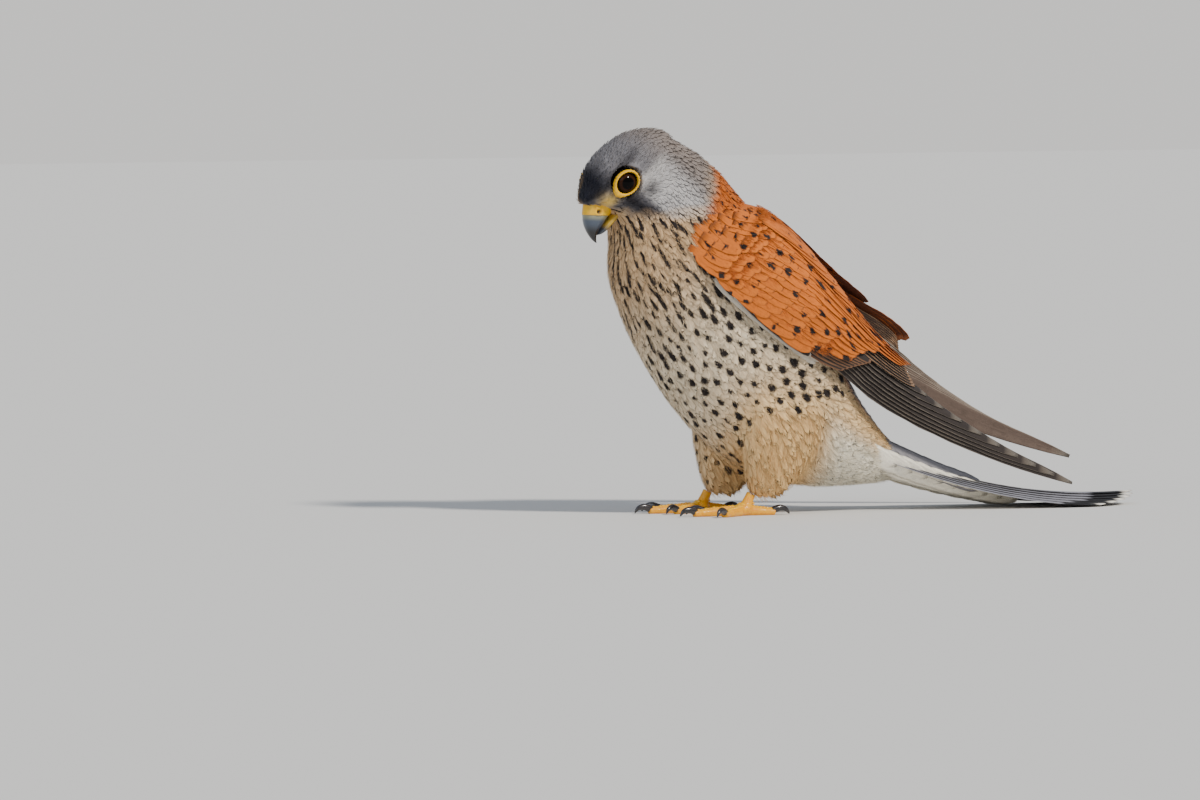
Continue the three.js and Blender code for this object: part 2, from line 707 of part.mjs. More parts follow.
// The room that an eye ring takes in the head: a short drum a little wider than the ring.
function ringClearance(side) {
  const geometry = new THREE.CylinderGeometry(RING_OPENING + RING_WIDTH + GAP, RING_OPENING + RING_WIDTH + GAP, 12, 18);
  geometry.translate(0, 2.4 - GAP + 6, 0);
  geometry.applyQuaternion(new THREE.Quaternion().setFromUnitVectors(vec(0, 1, 0), eyeAxis(side)));
  geometry.translate(...eyeCentre(side).toArray());
  return solidOfGeometry(geometry);
}

add("head", head, materials.head);
add("neck", largest(before(beyond(flesh, NECK_CUT, GAP), HEAD_CUT, GAP)), materials.neck);
add("cere", bill.cere, materials.skin);
add("bill_upper", bill.horn, materials.horn);
add("bill_lower", bill.lower, materials.horn);

const thighRoom = joined(Object.values(feet).map((foot) => thighSolid(foot, GAP)));
const torso = before(trunkSolid(0), NECK_CUT, GAP);
add("torso", largest(torso), materials.torso);

for (const [name, foot] of Object.entries(feet)) {
  const thigh = largest(thighSolid(foot, 0).subtract(trunkSolid(GAP)));
  add(`thigh_${name}`, thigh, materials.thigh);
  const leg = largest(footSolid(foot, thighRoom.add(trunkSolid(GAP))));
  add(`leg_${name}`, leg, materials.skin);
  const foothold = footSolid({ ...foot }, thighRoom);
  for (const [toe, shape] of Object.entries(TOES))
    add(`claw_${name}_${toe}`, clawSolid(foot, shape, grownToe(foot, shape).add(foothold)), materials.horn);
}

// A toe's end with the clearance that its claw keeps to it.
function grownToe(foot, shape) {
  const along = toeDirection(foot.side, shape.turn);
  const end = vec(foot.ball[0], foot.ball[1], TOE_RADIUS * 0.8).addScaledVector(along, shape.length - 0.9);
  return ball(end.toArray(), [TOE_RADIUS, TOE_RADIUS, TOE_RADIUS * 1.2], 12);
}

const wingRoom = fleshGrown.add(thighRoom);
add("wing_left", wingSolid(NEAR_WING, wingRoom), materials.wing);
add("wing_right", wingSolid(FAR_WING, wingRoom), materials.wing);
add("tail", tailSolid(trunkSolid(GAP).add(thighRoom)), materials.tail);

// The origin is on the floor, below the middle of the bird's own box.
const box = new THREE.Box3().setFromObject(kestrel);
kestrel.position.set(-(box.min.x + box.max.x) / 2, -(box.min.y + box.max.y) / 2, -box.min.z);

export default kestrel;
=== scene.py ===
"""An adult male common kestrel at life size, standing with its tail laid on the floor."""

import math
from functools import partial

import bmesh
import bpy
import numpy as np
from bpy.props import FloatProperty, FloatVectorProperty, IntProperty, PointerProperty
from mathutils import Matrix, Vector, kdtree
from mathutils.bvhtree import BVHTree


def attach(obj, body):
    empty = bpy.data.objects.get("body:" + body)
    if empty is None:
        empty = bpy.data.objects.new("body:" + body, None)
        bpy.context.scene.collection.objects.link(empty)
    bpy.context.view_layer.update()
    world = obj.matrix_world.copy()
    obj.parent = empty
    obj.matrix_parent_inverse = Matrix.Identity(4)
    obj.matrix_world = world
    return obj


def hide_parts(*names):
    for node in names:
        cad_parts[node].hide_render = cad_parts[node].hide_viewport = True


bl_info = {
    "name": "Common Kestrel",
    "version": (1, 0, 0),
    "blender": (4, 5, 0),
    "location": "View3D > Sidebar > Kestrel",
    "description": "Dresses the packed solids of a male common kestrel in skin and feathers",
    "category": "Object",
}

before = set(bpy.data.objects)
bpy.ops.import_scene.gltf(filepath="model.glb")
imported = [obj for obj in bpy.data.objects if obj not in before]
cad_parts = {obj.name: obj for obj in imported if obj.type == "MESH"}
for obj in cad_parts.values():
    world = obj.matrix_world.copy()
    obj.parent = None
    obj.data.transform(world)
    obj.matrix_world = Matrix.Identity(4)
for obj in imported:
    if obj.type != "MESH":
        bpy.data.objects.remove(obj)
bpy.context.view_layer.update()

# Sizes below are in millimetres on the bird's own axes: it faces -X, its left is -Y, and the
# origin is on the floor between its feet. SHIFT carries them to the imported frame.
SHIFT = np.array((-60.421, -0.338, 0.0))

BODY_LINE = [  # middles of the body's sections, from the neck to the tail
    (-62, 152), (-52, 147), (-42, 138), (-31, 121), (-19, 105), (-7, 90),
    (6, 73), (21, 55), (39, 41), (57, 32), (72, 26), (86, 22.5),
]
HEAD_CENTRE = np.array((-70.0, -2.0, 154.0))
HEAD_PITCH, HEAD_TURN = math.radians(40), math.radians(8)
EYE_AT = (-2.0, 11.2, 0.6)  # forward, out and up in the head's own frame
EYE_FORWARD = math.radians(16)

NEAR_WING = {
    "lower": [(-38, -30, 121), (-18, -35.5, 101), (12, -34.5, 79), (32, -31, 67),
              (57, -27, 52), (85, -23, 39), (127, -19, 23), (170, -15, 10)],
    "upper": [(-10, -9, 146), (13, -9, 133), (34, -10, 111), (51, -11, 91),
              (68, -12, 74), (86, -13, 59), (128, -13, 36), (171, -12.5, 15)],
}
FAR_WING = {
    "lower": [(-34, 31, 121), (-10, 36, 103), (19, 35, 86), (42, 31, 75),
              (65, 26, 65), (92, 21, 53), (134, 15, 35), (179, 9, 21)],
    "upper": [(-6, 9, 146), (18, 10, 132), (42, 12, 113), (63, 13, 97),
              (83, 13, 84), (103, 12, 70), (136, 10, 49), (180, 8, 26)],
}
WING_SWELL = [9, 12, 11, 9, 6.5, 4, 2, 0.5]
TAIL_CURVE = [(52, 31), (132, -3), (208, 0.6)]
FEET = {
    "left": {"side": -1, "ball": (-6, -16)},
    "right": {"side": 1, "ball": (-12, 16)},
}
TOES = {"hallux": (172, 15), "inner": (-26, 20), "middle": (2, 27), "outer": (36, 21)}
TOE_RADIUS = 2.3
CLAW_LENGTH = 9.0
WING_LENGTH, WING_DEPTH = 240, 48  # rough sizes of a folded wing's outer face
TAIL_LENGTH = 160
PATCH = 0.003  # side of a feather's own patch of the unwrapped map
MARKED = 0.25  # share of the spotted or chestnut plumage from which dark marks show
FLOOR_GAP = 0.00005  # in metres

# Bill sections in the head's frame: top and bottom points (forward, up), then half width.
UPPER_BILL = [
    (9.5, 4.2, 8.0, -10.0, 6.0), (13.6, 2.3, 11.0, -10.6, 5.7), (17.0, -0.3, 14.0, -11.3, 5.2),
    (19.7, -2.8, 16.6, -11.9, 4.5), (21.5, -5.4, 18.5, -12.5, 3.6), (22.6, -8.3, 19.8, -13.1, 2.6),
    (23.1, -11.3, 20.7, -13.9, 1.7), (23.0, -14.1, 21.5, -15.1, 0.9), (22.4, -16.3, 22.2, -16.4, 0.25),
]
LOWER_BILL = [
    (7.0, -10.4, 6.5, -14.2, 5.0), (11.5, -11.1, 11.0, -14.6, 4.4), (15.5, -12.1, 15.2, -14.9, 3.4),
    (18.3, -12.8, 18.1, -14.6, 2.2), (19.7, -13.4, 19.6, -13.9, 0.6),
]
CERE_EDGE = {"at": (19, 0, -2), "normal": (0.67, 0, -0.742)}
NOSTRIL = (14.5, 5.0, -3.9)


def srgb(red, green, blue):
    """A colour given in 0 to 255 as it looks, in linear light."""
    c = np.array((red, green, blue), float) / 255
    return np.where(c < 0.04045, c / 12.92, ((c + 0.055) / 1.055) ** 2.4)


def settings():
    return bpy.context.scene.kestrel


class KestrelSettings(bpy.types.PropertyGroup):
    coat_depth: FloatProperty(
        name="Coat depth",
        description="How far the skin lies inside the outline of the body feathers",
        default=0.0013, unit="LENGTH", min=0.0005, max=0.003,
    )
    body_feather: FloatProperty(
        name="Body feather",
        description="Length of a breast feather",
        default=0.0105, unit="LENGTH", min=0.004, max=0.02,
    )
    body_spacing: FloatProperty(
        name="Body spacing",
        description="Distance between the roots of two breast feathers",
        default=0.0026, unit="LENGTH", min=0.0018, max=0.006,
    )
    head_spacing: FloatProperty(
        name="Head spacing",
        description="Distance between the roots of two head feathers",
        default=0.0014, unit="LENGTH", min=0.001, max=0.004,
    )
    seed: IntProperty(name="Seed", description="Seed of every random draw", default=7)
    chestnut: FloatVectorProperty(
        name="Chestnut", description="Back and wing coverts", subtype="COLOR",
        default=tuple(srgb(197, 103, 32)), min=0, max=1,
    )
    cream: FloatVectorProperty(
        name="Cream", description="Breast and belly", subtype="COLOR",
        default=tuple(srgb(230, 212, 183)), min=0, max=1,
    )
    slate: FloatVectorProperty(
        name="Slate", description="Head and tail", subtype="COLOR",
        default=tuple(srgb(142, 139, 143)), min=0, max=1,
    )
    buff: FloatVectorProperty(
        name="Buff", description="Thighs and throat", subtype="COLOR",
        default=tuple(srgb(228, 186, 122)), min=0, max=1,
    )
    dark: FloatVectorProperty(
        name="Dark", description="Spots and streaks", subtype="COLOR",
        default=tuple(srgb(38, 30, 28)), min=0, max=1,
    )
    flight: FloatVectorProperty(
        name="Flight feathers", description="Primaries and secondaries", subtype="COLOR",
        default=tuple(srgb(54, 47, 44)), min=0, max=1,
    )
    yellow: FloatVectorProperty(
        name="Yellow skin", description="Cere, eye rings and feet", subtype="COLOR",
        default=tuple(srgb(240, 188, 0)), min=0, max=1,
    )


# Frames and fields on the bird


def unit(v):
    v = np.asarray(v, float)
    return v / np.maximum(np.linalg.norm(v, axis=-1, keepdims=True), 1e-9)


def head_axes():
    forward = np.array((-math.cos(HEAD_TURN) * math.cos(HEAD_PITCH),
                        -math.sin(HEAD_TURN) * math.cos(HEAD_PITCH), -math.sin(HEAD_PITCH)))
    left = np.array((math.sin(HEAD_TURN), -math.cos(HEAD_TURN), 0.0))
    return np.array((forward, left, np.cross(forward, left)))


HEAD_AXES = head_axes()


def in_head(points):
    """Points on the bird, given in the head's frame: forward, left, up."""
    return HEAD_CENTRE + np.asarray(points, float) @ HEAD_AXES


def to_head(points):
    return (np.asarray(points, float) - HEAD_CENTRE) @ HEAD_AXES.T


def catmull(points, t):
    """A smooth curve through the points, at t from 0 to 1."""
    p = np.asarray(points, float)
    count = len(p) - 1
    t = np.clip(np.atleast_1d(np.asarray(t, float)), 0, 1) * count
    i = np.minimum(t.astype(int), count - 1)
    f = (t - i)[..., None]
    padded = np.vstack((2 * p[0] - p[1], p, 2 * p[-1] - p[-2]))
    a, b, c, d = padded[i], padded[i + 1], padded[i + 2], padded[i + 3]
    return 0.5 * (2 * b + (c - a) * f + (2 * a - 5 * b + 4 * c - d) * f**2 + (3 * b - a - 3 * c + d) * f**3)


SPINE = catmull(BODY_LINE, np.linspace(0, 1, 80))
SPINE_RUN = np.concatenate(([0], np.cumsum(np.linalg.norm(np.diff(SPINE, axis=0), axis=1))))
SPINE_TANGENT = unit(np.gradient(SPINE, axis=0))


def body_place(points):
    """How far along the spine a point is, its angle from the back, 0, to the belly, pi, and the
    spine's direction there."""
    p = np.asarray(points, float)
    flat = p[:, (0, 2)]
    nearest = np.empty(len(p), int)
    for start in range(0, len(p), 20000):
        part = flat[start:start + 20000]
        gap = part[:, None, :] - SPINE[None]
        nearest[start:start + 20000] = (gap**2).sum(-1).argmin(1)
    tangent = SPINE_TANGENT[nearest]
    offset = flat - SPINE[nearest]
    above = -offset[:, 0] * tangent[:, 1] + offset[:, 1] * tangent[:, 0]
    angle = np.abs(np.arctan2(np.abs(p[:, 1]), above))
    ahead = SPINE_TANGENT[np.minimum(nearest + 10, len(SPINE) - 1)]
    along = np.stack((ahead[:, 0], np.zeros(len(p)), ahead[:, 1]), 1)
    return SPINE_RUN[nearest], angle, along


def smooth(low, high, x):
    t = np.clip((np.asarray(x, float) - low) / (high - low), 0, 1)
    return t * t * (3 - 2 * t)


def blend(a, b, share):
    share = np.asarray(share)[..., None]
    return np.asarray(a) * (1 - share) + np.asarray(b) * share


def head_share(points):
    """1 on the head, 0 on the body, with a soft edge across the neck."""
    h = to_head(points)
    return smooth(-34, -14, h[:, 0] + 0.9 * np.minimum(h[:, 2] + 6, 0))


def lie(points, normals):
    """The direction in which the feathers lie: back from the bill, then along the body."""
    back = unit(np.asarray(points) - in_head((30, 0, -4)))
    _, _, along = body_place(points)
    thigh = thigh_share(points)
    down = np.array((0.25, 0.0, -1.0))
    above = smooth(-17, -5, to_head(points)[:, 2])
    direction = blend(along, back, head_share(points) * above)
    direction = blend(direction, down, thigh * 0.85)
    direction = direction - normals * (direction * normals).sum(1, keepdims=True)
    return unit(direction)


def thigh_share(points):
    p = np.asarray(points)
    x, y, z = p[:, 0], np.abs(p[:, 1]), p[:, 2]
    inside = smooth(66, 38, z) * smooth(-20, 0, x) * smooth(44, 18, x + (z - 30) * -0.15)
    return inside * smooth(3, 12, y)


# Colours by place


def plumage(points):
    """Base colour, streak share and spot share for points on the body or head."""
    s = settings()
    p = np.asarray(points, float)
    run, angle, _ = body_place(p)
    h = to_head(p)
    forward, out, up = h[:, 0], np.abs(h[:, 1]), h[:, 2]
    cream, chestnut, slate, buff = (np.array(c) for c in (s.cream, s.chestnut, s.slate, s.buff))
    # Underparts, warmer on the upper breast and towards the thighs and tail.
    colour = np.tile(cream, (len(p), 1))
    colour = blend(colour, srgb(202, 164, 118), smooth(84, 30, run) * 0.85)
    colour = blend(colour, buff, smooth(88, 34, p[:, 2]) * smooth(-32, 4, p[:, 0]) * 0.8)
    colour = blend(colour, buff, thigh_share(p) * 0.6)
    colour = blend(colour, srgb(236, 228, 208), smooth(24, 44, p[:, 0]) * smooth(1.2, 1.9, angle))
    # Back: chestnut from the shoulders to the rump, then slate.
    behind = (p[:, 0] + 20) * 0.9 - (p[:, 2] - 160) * 0.436
    behind = behind + 1.6 * np.sin(p[:, 1] * 1.1) * np.cos(p[:, 2] * 0.9)
    limit = 1.45 - 0.6 * smooth(-20, 20, p[:, 0])
    back = smooth(0, -0.25, angle - limit) * smooth(-5, 4, behind)
    colour = blend(colour, chestnut, back)
    colour = blend(colour, slate * 1.05, back * smooth(34, 52, p[:, 0]))
    # Head.
    head = smooth(6, -7, behind + np.maximum(angle - 1.1, 0) * 26) * smooth(86, 60, run)
    grey = blend(slate * 0.72, srgb(146, 132, 122), smooth(-12, -36, forward) * 0.8)
    grey = blend(grey, srgb(24, 25, 36), smooth(1, 12, forward + 0.45 * up) * smooth(-1, 4, up))
    cheek = smooth(8, 12, out) * smooth(1, -4, up) * smooth(-2, -6, forward) * smooth(-30, -18, forward)
    grey = blend(grey, srgb(196, 192, 190), cheek * 0.8)
    throat = smooth(-7, -12, up) * smooth(13, 6, out + 0.3 * np.abs(forward - 4))
    grey = blend(grey, srgb(214, 186, 140), throat)
    brow = np.exp(-(((up - 6.8 + 0.1 * forward) / 1.9) ** 2))
    brow = brow * smooth(-24, -6, forward) * smooth(8, 12, out)
    grey = blend(grey, srgb(44, 41, 46), brow * 0.8)
    lore = np.exp(-(((forward - 9.5) / 3.6) ** 2) - ((up + 2.0) / 3.2) ** 2) * smooth(4, 7, out)
    grey = blend(grey, srgb(226, 190, 100), lore)
    stripe = np.exp(-(((forward - 1.5 - 0.15 * (up + 8)) / 4.6) ** 2)) * smooth(-4, -7, up)
    stripe = np.maximum(stripe, np.exp(-((forward + 8) / 5) ** 2 - ((up + 9) / 2.6) ** 2) * 0.8)
    stripe = stripe * smooth(-24, -15, up) * smooth(5, 9, out)
    grey = blend(grey, srgb(34, 32, 38), stripe)
    colour = blend(colour, grey, head)
    streak = head * (0.55 - 0.3 * throat) * (1 - 0.5 * stripe)
    spots = (1 - back) * (1 - head) * (1 - smooth(0.3, 0.9, thigh_share(p))) * smooth(52, 34, p[:, 0])
    spots = spots * (1 - smooth(8, 24, p[:, 0]) * smooth(64, 48, p[:, 2]))
    return np.clip(colour, 0, 1), streak, np.clip(spots, 0, 1), back * (1 - head), head


# Meshes from arrays


def new_object(name, verts, faces, material, colours=None, marks=None, streaks=None, uv=None, patch=None):
    """A mesh object at the origin. Points are in the bird's millimetres; faces all have the same
    number of corners; colours, marks and streaks are for each point, uv and patch for each corner."""
    mesh = bpy.data.meshes.new(name)
    faces = np.asarray(faces, np.int32)
    mesh.vertices.add(len(verts))
    set_points(mesh, verts)
    mesh.loops.add(faces.size)
    mesh.loops.foreach_set("vertex_index", faces.ravel())
    mesh.polygons.add(len(faces))
    mesh.polygons.foreach_set("loop_start", np.arange(0, faces.size, faces.shape[1], dtype=np.int32))
    mesh.update(calc_edges=True)
    mesh.validate()
    give(mesh, colours, marks, streaks, uv, patch)
    mesh.materials.append(material)
    return linked(name, mesh)


def linked(name, data):
    obj = bpy.data.objects.new(name, data)
    bpy.context.scene.collection.objects.link(obj)
    return obj


def set_points(mesh, points):
    """Puts a mesh's points at places given in the bird's millimetres."""
    moved = (np.asarray(points, float) + SHIFT) * 0.001
    mesh.vertices.foreach_set("co", moved.astype(np.float32).ravel())
    mesh.update()


def give(mesh, colours=None, marks=None, streaks=None, uv=None, patch=None):
    """Smooth shading, and the attributes and maps that the materials read."""
    mesh.polygons.foreach_set("use_smooth", np.ones(len(mesh.polygons), bool))
    for label, values in (("mark", marks), ("streak", streaks)):
        if values is not None:
            made = mesh.attributes.new(label, "FLOAT", "POINT")
            made.data.foreach_set("value", np.asarray(values, np.float32))
    if colours is not None:
        rgba = np.column_stack((colours, np.ones(len(colours)))).astype(np.float32)
        mesh.attributes.new("tint", "FLOAT_COLOR", "POINT").data.foreach_set("color", rgba.ravel())
    for label, values in (("vane", uv), ("OFBake", patch)):
        if values is not None:
            layer = mesh.uv_layers.new(name=label)
            layer.data.foreach_set("uv", np.asarray(values, np.float32).ravel())


def finish_piece(obj, slot, *nodes):
    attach(obj, "root")
    if nodes:
        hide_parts(*nodes)
    return obj


def arrays(mesh):
    """A mesh's points, in metres, and its points' normals."""
    co = np.empty(len(mesh.vertices) * 3, np.float32)
    mesh.vertices.foreach_get("co", co)
    normals = np.empty(len(mesh.vertices) * 3, np.float32)
    mesh.vertex_normals.foreach_get("vector", normals)
    return co.reshape(-1, 3).astype(float), normals.reshape(-1, 3).astype(float)


def points_of(obj):
    """An object's points, in the bird's millimetres, and its points' normals."""
    co, normals = arrays(obj.data)
    return co * 1000 - SHIFT, normals


def triangles_of(mesh):
    mesh.calc_loop_triangles()
    corners = np.empty(len(mesh.loop_triangles) * 3, np.int32)
    mesh.loop_triangles.foreach_get("vertices", corners)
    return corners.reshape(-1, 3)


def evaluated(obj):
    """A plain mesh of the object with its modifiers applied."""
    bpy.context.view_layer.update()
    graph = bpy.context.evaluated_depsgraph_get()
    return bpy.data.meshes.new_from_object(obj.evaluated_get(graph))


def remeshed(name, nodes, voxel, smoothing, grow=0.0):
    """One closed skin over copies of CAD nodes: grown a little to close their gaps, remeshed with
    voxels of that size and smoothed. Sizes are in millimetres."""
    verts, faces, start = [], [], 0
    for node in nodes:
        copy = linked("copy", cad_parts[node].data.copy())
        weld = copy.modifiers.new("weld", "WELD")
        weld.merge_threshold = 1e-6
        mesh = evaluated(copy)
        mesh_points, mesh_normals = arrays(mesh)
        verts.append(mesh_points + mesh_normals * grow * 0.001)
        faces.append(triangles_of(mesh) + start)
        start += len(mesh_points)
        bpy.data.objects.remove(copy)
    mesh = bpy.data.meshes.new(name)
    mesh.from_pydata(np.vstack(verts).tolist(), [], np.vstack(faces).tolist())
    obj = linked(name, mesh)
    remesh = obj.modifiers.new("remesh", "REMESH")
    remesh.mode = "VOXEL"
    remesh.voxel_size = voxel * 0.001
    ease = obj.modifiers.new("smooth", "SMOOTH")
    ease.factor, ease.iterations = 0.5, smoothing
    obj.data = evaluated(obj)
    obj.modifiers.clear()
    return obj


# Materials


def links(tree, *pairs):
    for output, target in pairs:
        tree.links.new(output, target)


def maths(tree, operation, *values, clamp=False):
    """A Math node fed with numbers or other nodes' outputs."""
    made = tree.nodes.new("ShaderNodeMath")
    made.operation, made.use_clamp = operation, clamp
    for socket, value in zip(made.inputs, values):
        if isinstance(value, (int, float)):
            socket.default_value = value
        else:
            tree.links.new(value, socket)
    return made.outputs[0]


def noise_node(tree, scale, detail=2.0):
    made = tree.nodes.new("ShaderNodeTexNoise")
    made.inputs["Scale"].default_value = scale
    made.inputs["Detail"].default_value = detail
    return made


def attribute(tree, name):
    made = tree.nodes.new("ShaderNodeAttribute")
    made.attribute_name = name
    return made


def vane_group():
    """Shared look of every feather: dark marks with feathery edges, a shaft line and barbs."""
    name = "Feather vane"
    if name in bpy.data.node_groups:
        return bpy.data.node_groups[name]
    group = bpy.data.node_groups.new(name, "ShaderNodeTree")
    side = group.interface
    side.new_socket("Mark colour", in_out="INPUT", socket_type="NodeSocketColor")
    side.new_socket("Streaks", in_out="INPUT", socket_type="NodeSocketFloat").default_value = 0.6
    side.new_socket("Colour", in_out="OUTPUT", socket_type="NodeSocketColor")
    side.new_socket("Height", in_out="OUTPUT", socket_type="NodeSocketFloat")
    node, sum_of = group.nodes.new, partial(maths, group, "ADD")
    times, less = partial(maths, group, "MULTIPLY"), partial(maths, group, "SUBTRACT")
    inputs, outputs = node("NodeGroupInput"), node("NodeGroupOutput")
    tint, mark, streak = (attribute(group, each) for each in ("tint", "mark", "streak"))
    uv, split, place = node("ShaderNodeUVMap"), node("ShaderNodeSeparateXYZ"), node("ShaderNodeTexCoord")
    uv.uv_map = "vane"
    links(group, (uv.outputs["UV"], split.inputs[0]))
    across, along = split.outputs["X"], split.outputs["Y"]
    off_shaft = maths(group, "ABSOLUTE", less(across, 0.5))
    # Barbs leave the shaft at a slant.
    slant = sum_of(times(along, 34.0), times(off_shaft, -26.0))
    wobble = noise_node(group, 900.0, 3.0)
    links(group, (place.outputs["Object"], wobble.inputs["Vector"]))
    barb = maths(group, "SINE", sum_of(times(slant, 6.2832), times(wobble.outputs[0], 9.0)))
    shaft = less(1.0, times(off_shaft, 26.0), clamp=True)
    # Dark marks, with edges broken up along the barbs.
    edge = sum_of(times(barb, 0.09), times(less(wobble.outputs[0], 0.5), 0.7))
    mask = maths(group, "MULTIPLY_ADD", sum_of(mark.outputs["Fac"], edge), 3.6, 0.5, clamp=True)
    line = times(less(1.0, times(off_shaft, 5.5), clamp=True), streak.outputs["Fac"])
    both = maths(group, "MAXIMUM", mask, line, clamp=True)
    first = node("ShaderNodeMix")
    first.data_type = "RGBA"
    links(group, (both, first.inputs["Factor"]), (tint.outputs["Color"], first.inputs["A"]),
          (inputs.outputs["Mark colour"], first.inputs["B"]))
    # Fine light and dark barbs, and slow changes from place to place.
    patch, hair = noise_node(group, 90.0), noise_node(group, 1.0, 3.0)
    spread = node("ShaderNodeCombineXYZ")
    links(group, (place.outputs["Object"], patch.inputs["Vector"]),
          (times(across, 9.0), spread.inputs["X"]), (times(along, 1.6), spread.inputs["Y"]),
          (times(patch.outputs[0], 30.0), spread.inputs["Z"]), (spread.outputs[0], hair.inputs["Vector"]))
    light = sum_of(0.55, sum_of(times(barb, 0.04), times(patch.outputs[0], 0.3)))
    light = sum_of(light, times(hair.outputs[0], inputs.outputs["Streaks"]))
    scale = node("ShaderNodeVectorMath")
    scale.operation = "SCALE"
    links(group, (first.outputs["Result"], scale.inputs[0]), (light, scale.inputs["Scale"]))
    height = sum_of(sum_of(times(barb, 0.4), times(shaft, 1.5)), times(hair.outputs[0], 3.0))
    links(group, (scale.outputs[0], outputs.inputs["Colour"]), (height, outputs.inputs["Height"]))
    return group


def new_material(name):
    material = bpy.data.materials.new(name)
    material.use_nodes = True
    return material, material.node_tree, material.node_tree.nodes["Principled BSDF"].inputs


def raised_by(tree, height, strength, distance):
    """A Bump node on a material's normal."""
    raised = tree.nodes.new("ShaderNodeBump")
    raised.inputs["Strength"].default_value = strength
    raised.inputs["Distance"].default_value = distance
    target = tree.nodes["Principled BSDF"].inputs["Normal"]
    links(tree, (height, raised.inputs["Height"]), (raised.outputs["Normal"], target))
    return raised


def feather_material(name, roughness=0.78, bump=0.3):
    if name in bpy.data.materials:
        return bpy.data.materials[name]
    material, tree, shader = new_material(name)
    group = tree.nodes.new("ShaderNodeGroup")
    group.node_tree = vane_group()
    group.inputs["Mark colour"].default_value = (*settings().dark, 1)
    raised_by(tree, group.outputs["Height"], bump, 0.00008)
    links(tree, (group.outputs["Colour"], shader["Base Color"]))
    shader["Roughness"].default_value = roughness
    shader["Sheen Weight"].default_value = 0.06
    shader["Sheen Roughness"].default_value = 0.4
    shader["Specular IOR Level"].default_value = 0.25
    return material


def glossy_material(name, roughness, coat, coat_roughness):
    """Eye or horn, coloured by its points."""
    material, tree, shader = new_material(name)
    links(tree, (attribute(tree, "tint").outputs["Color"], shader["Base Color"]))
    shader["Roughness"].default_value = roughness
    shader["Coat Weight"].default_value = coat
    shader["Coat Roughness"].default_value = coat_roughness
    return material


def speckled_material(name, colours, scale, roughness, bump, coat, cells=False):
    """Skin or horn: a base colour that varies between two, with cells or grain raised on it."""
    material, tree, shader = new_material(name)
    place, ramp = tree.nodes.new("ShaderNodeTexCoord"), tree.nodes.new("ShaderNodeValToRGB")
    noise = noise_node(tree, scale * 0.35, 4)
    ramp.color_ramp.elements[0].position, ramp.color_ramp.elements[1].position = 0.35, 0.65
    for element, colour in zip(ramp.color_ramp.elements, colours):
        element.color = (*colour, 1)
    grain = tree.nodes.new("ShaderNodeTexVoronoi" if cells else "ShaderNodeTexNoise")
    grain.inputs["Scale"].default_value = scale
    raised_by(tree, grain.outputs[0], bump, 0.0002).invert = cells
    links(tree, (place.outputs["Object"], noise.inputs["Vector"]),
          (place.outputs["Object"], grain.inputs["Vector"]),
          (noise.outputs[0], ramp.inputs[0]), (ramp.outputs[0], shader["Base Color"]))
    shader["Roughness"].default_value = roughness
    shader["Coat Weight"].default_value = coat
    shader["Coat Roughness"].default_value = 0.12
    return material


# Skin


def wrap_map(points):
    """A flat map of the skin's own shape: round it, then along it, both from 0 to 1."""
    run, _, _ = body_place(points)
    p = np.asarray(points)
    flat = p[:, (0, 2)]
    step = np.clip(np.searchsorted(SPINE_RUN, run), 0, len(SPINE) - 1)
    offset = flat - SPINE[step]
    tangent = SPINE_TANGENT[step]
    above = -offset[:, 0] * tangent[:, 1] + offset[:, 1] * tangent[:, 0]
    turn = np.arctan2(p[:, 1], above) / (2 * math.pi) + 0.5
    h = to_head(p)
    beyond = np.clip(h[:, 0] + 30, 0, 60) * smooth(60, 30, run)
    return np.column_stack((0.02 + 0.96 * turn, 0.28 + 0.7 * run / SPINE_RUN[-1] - 0.26 * beyond / 60))


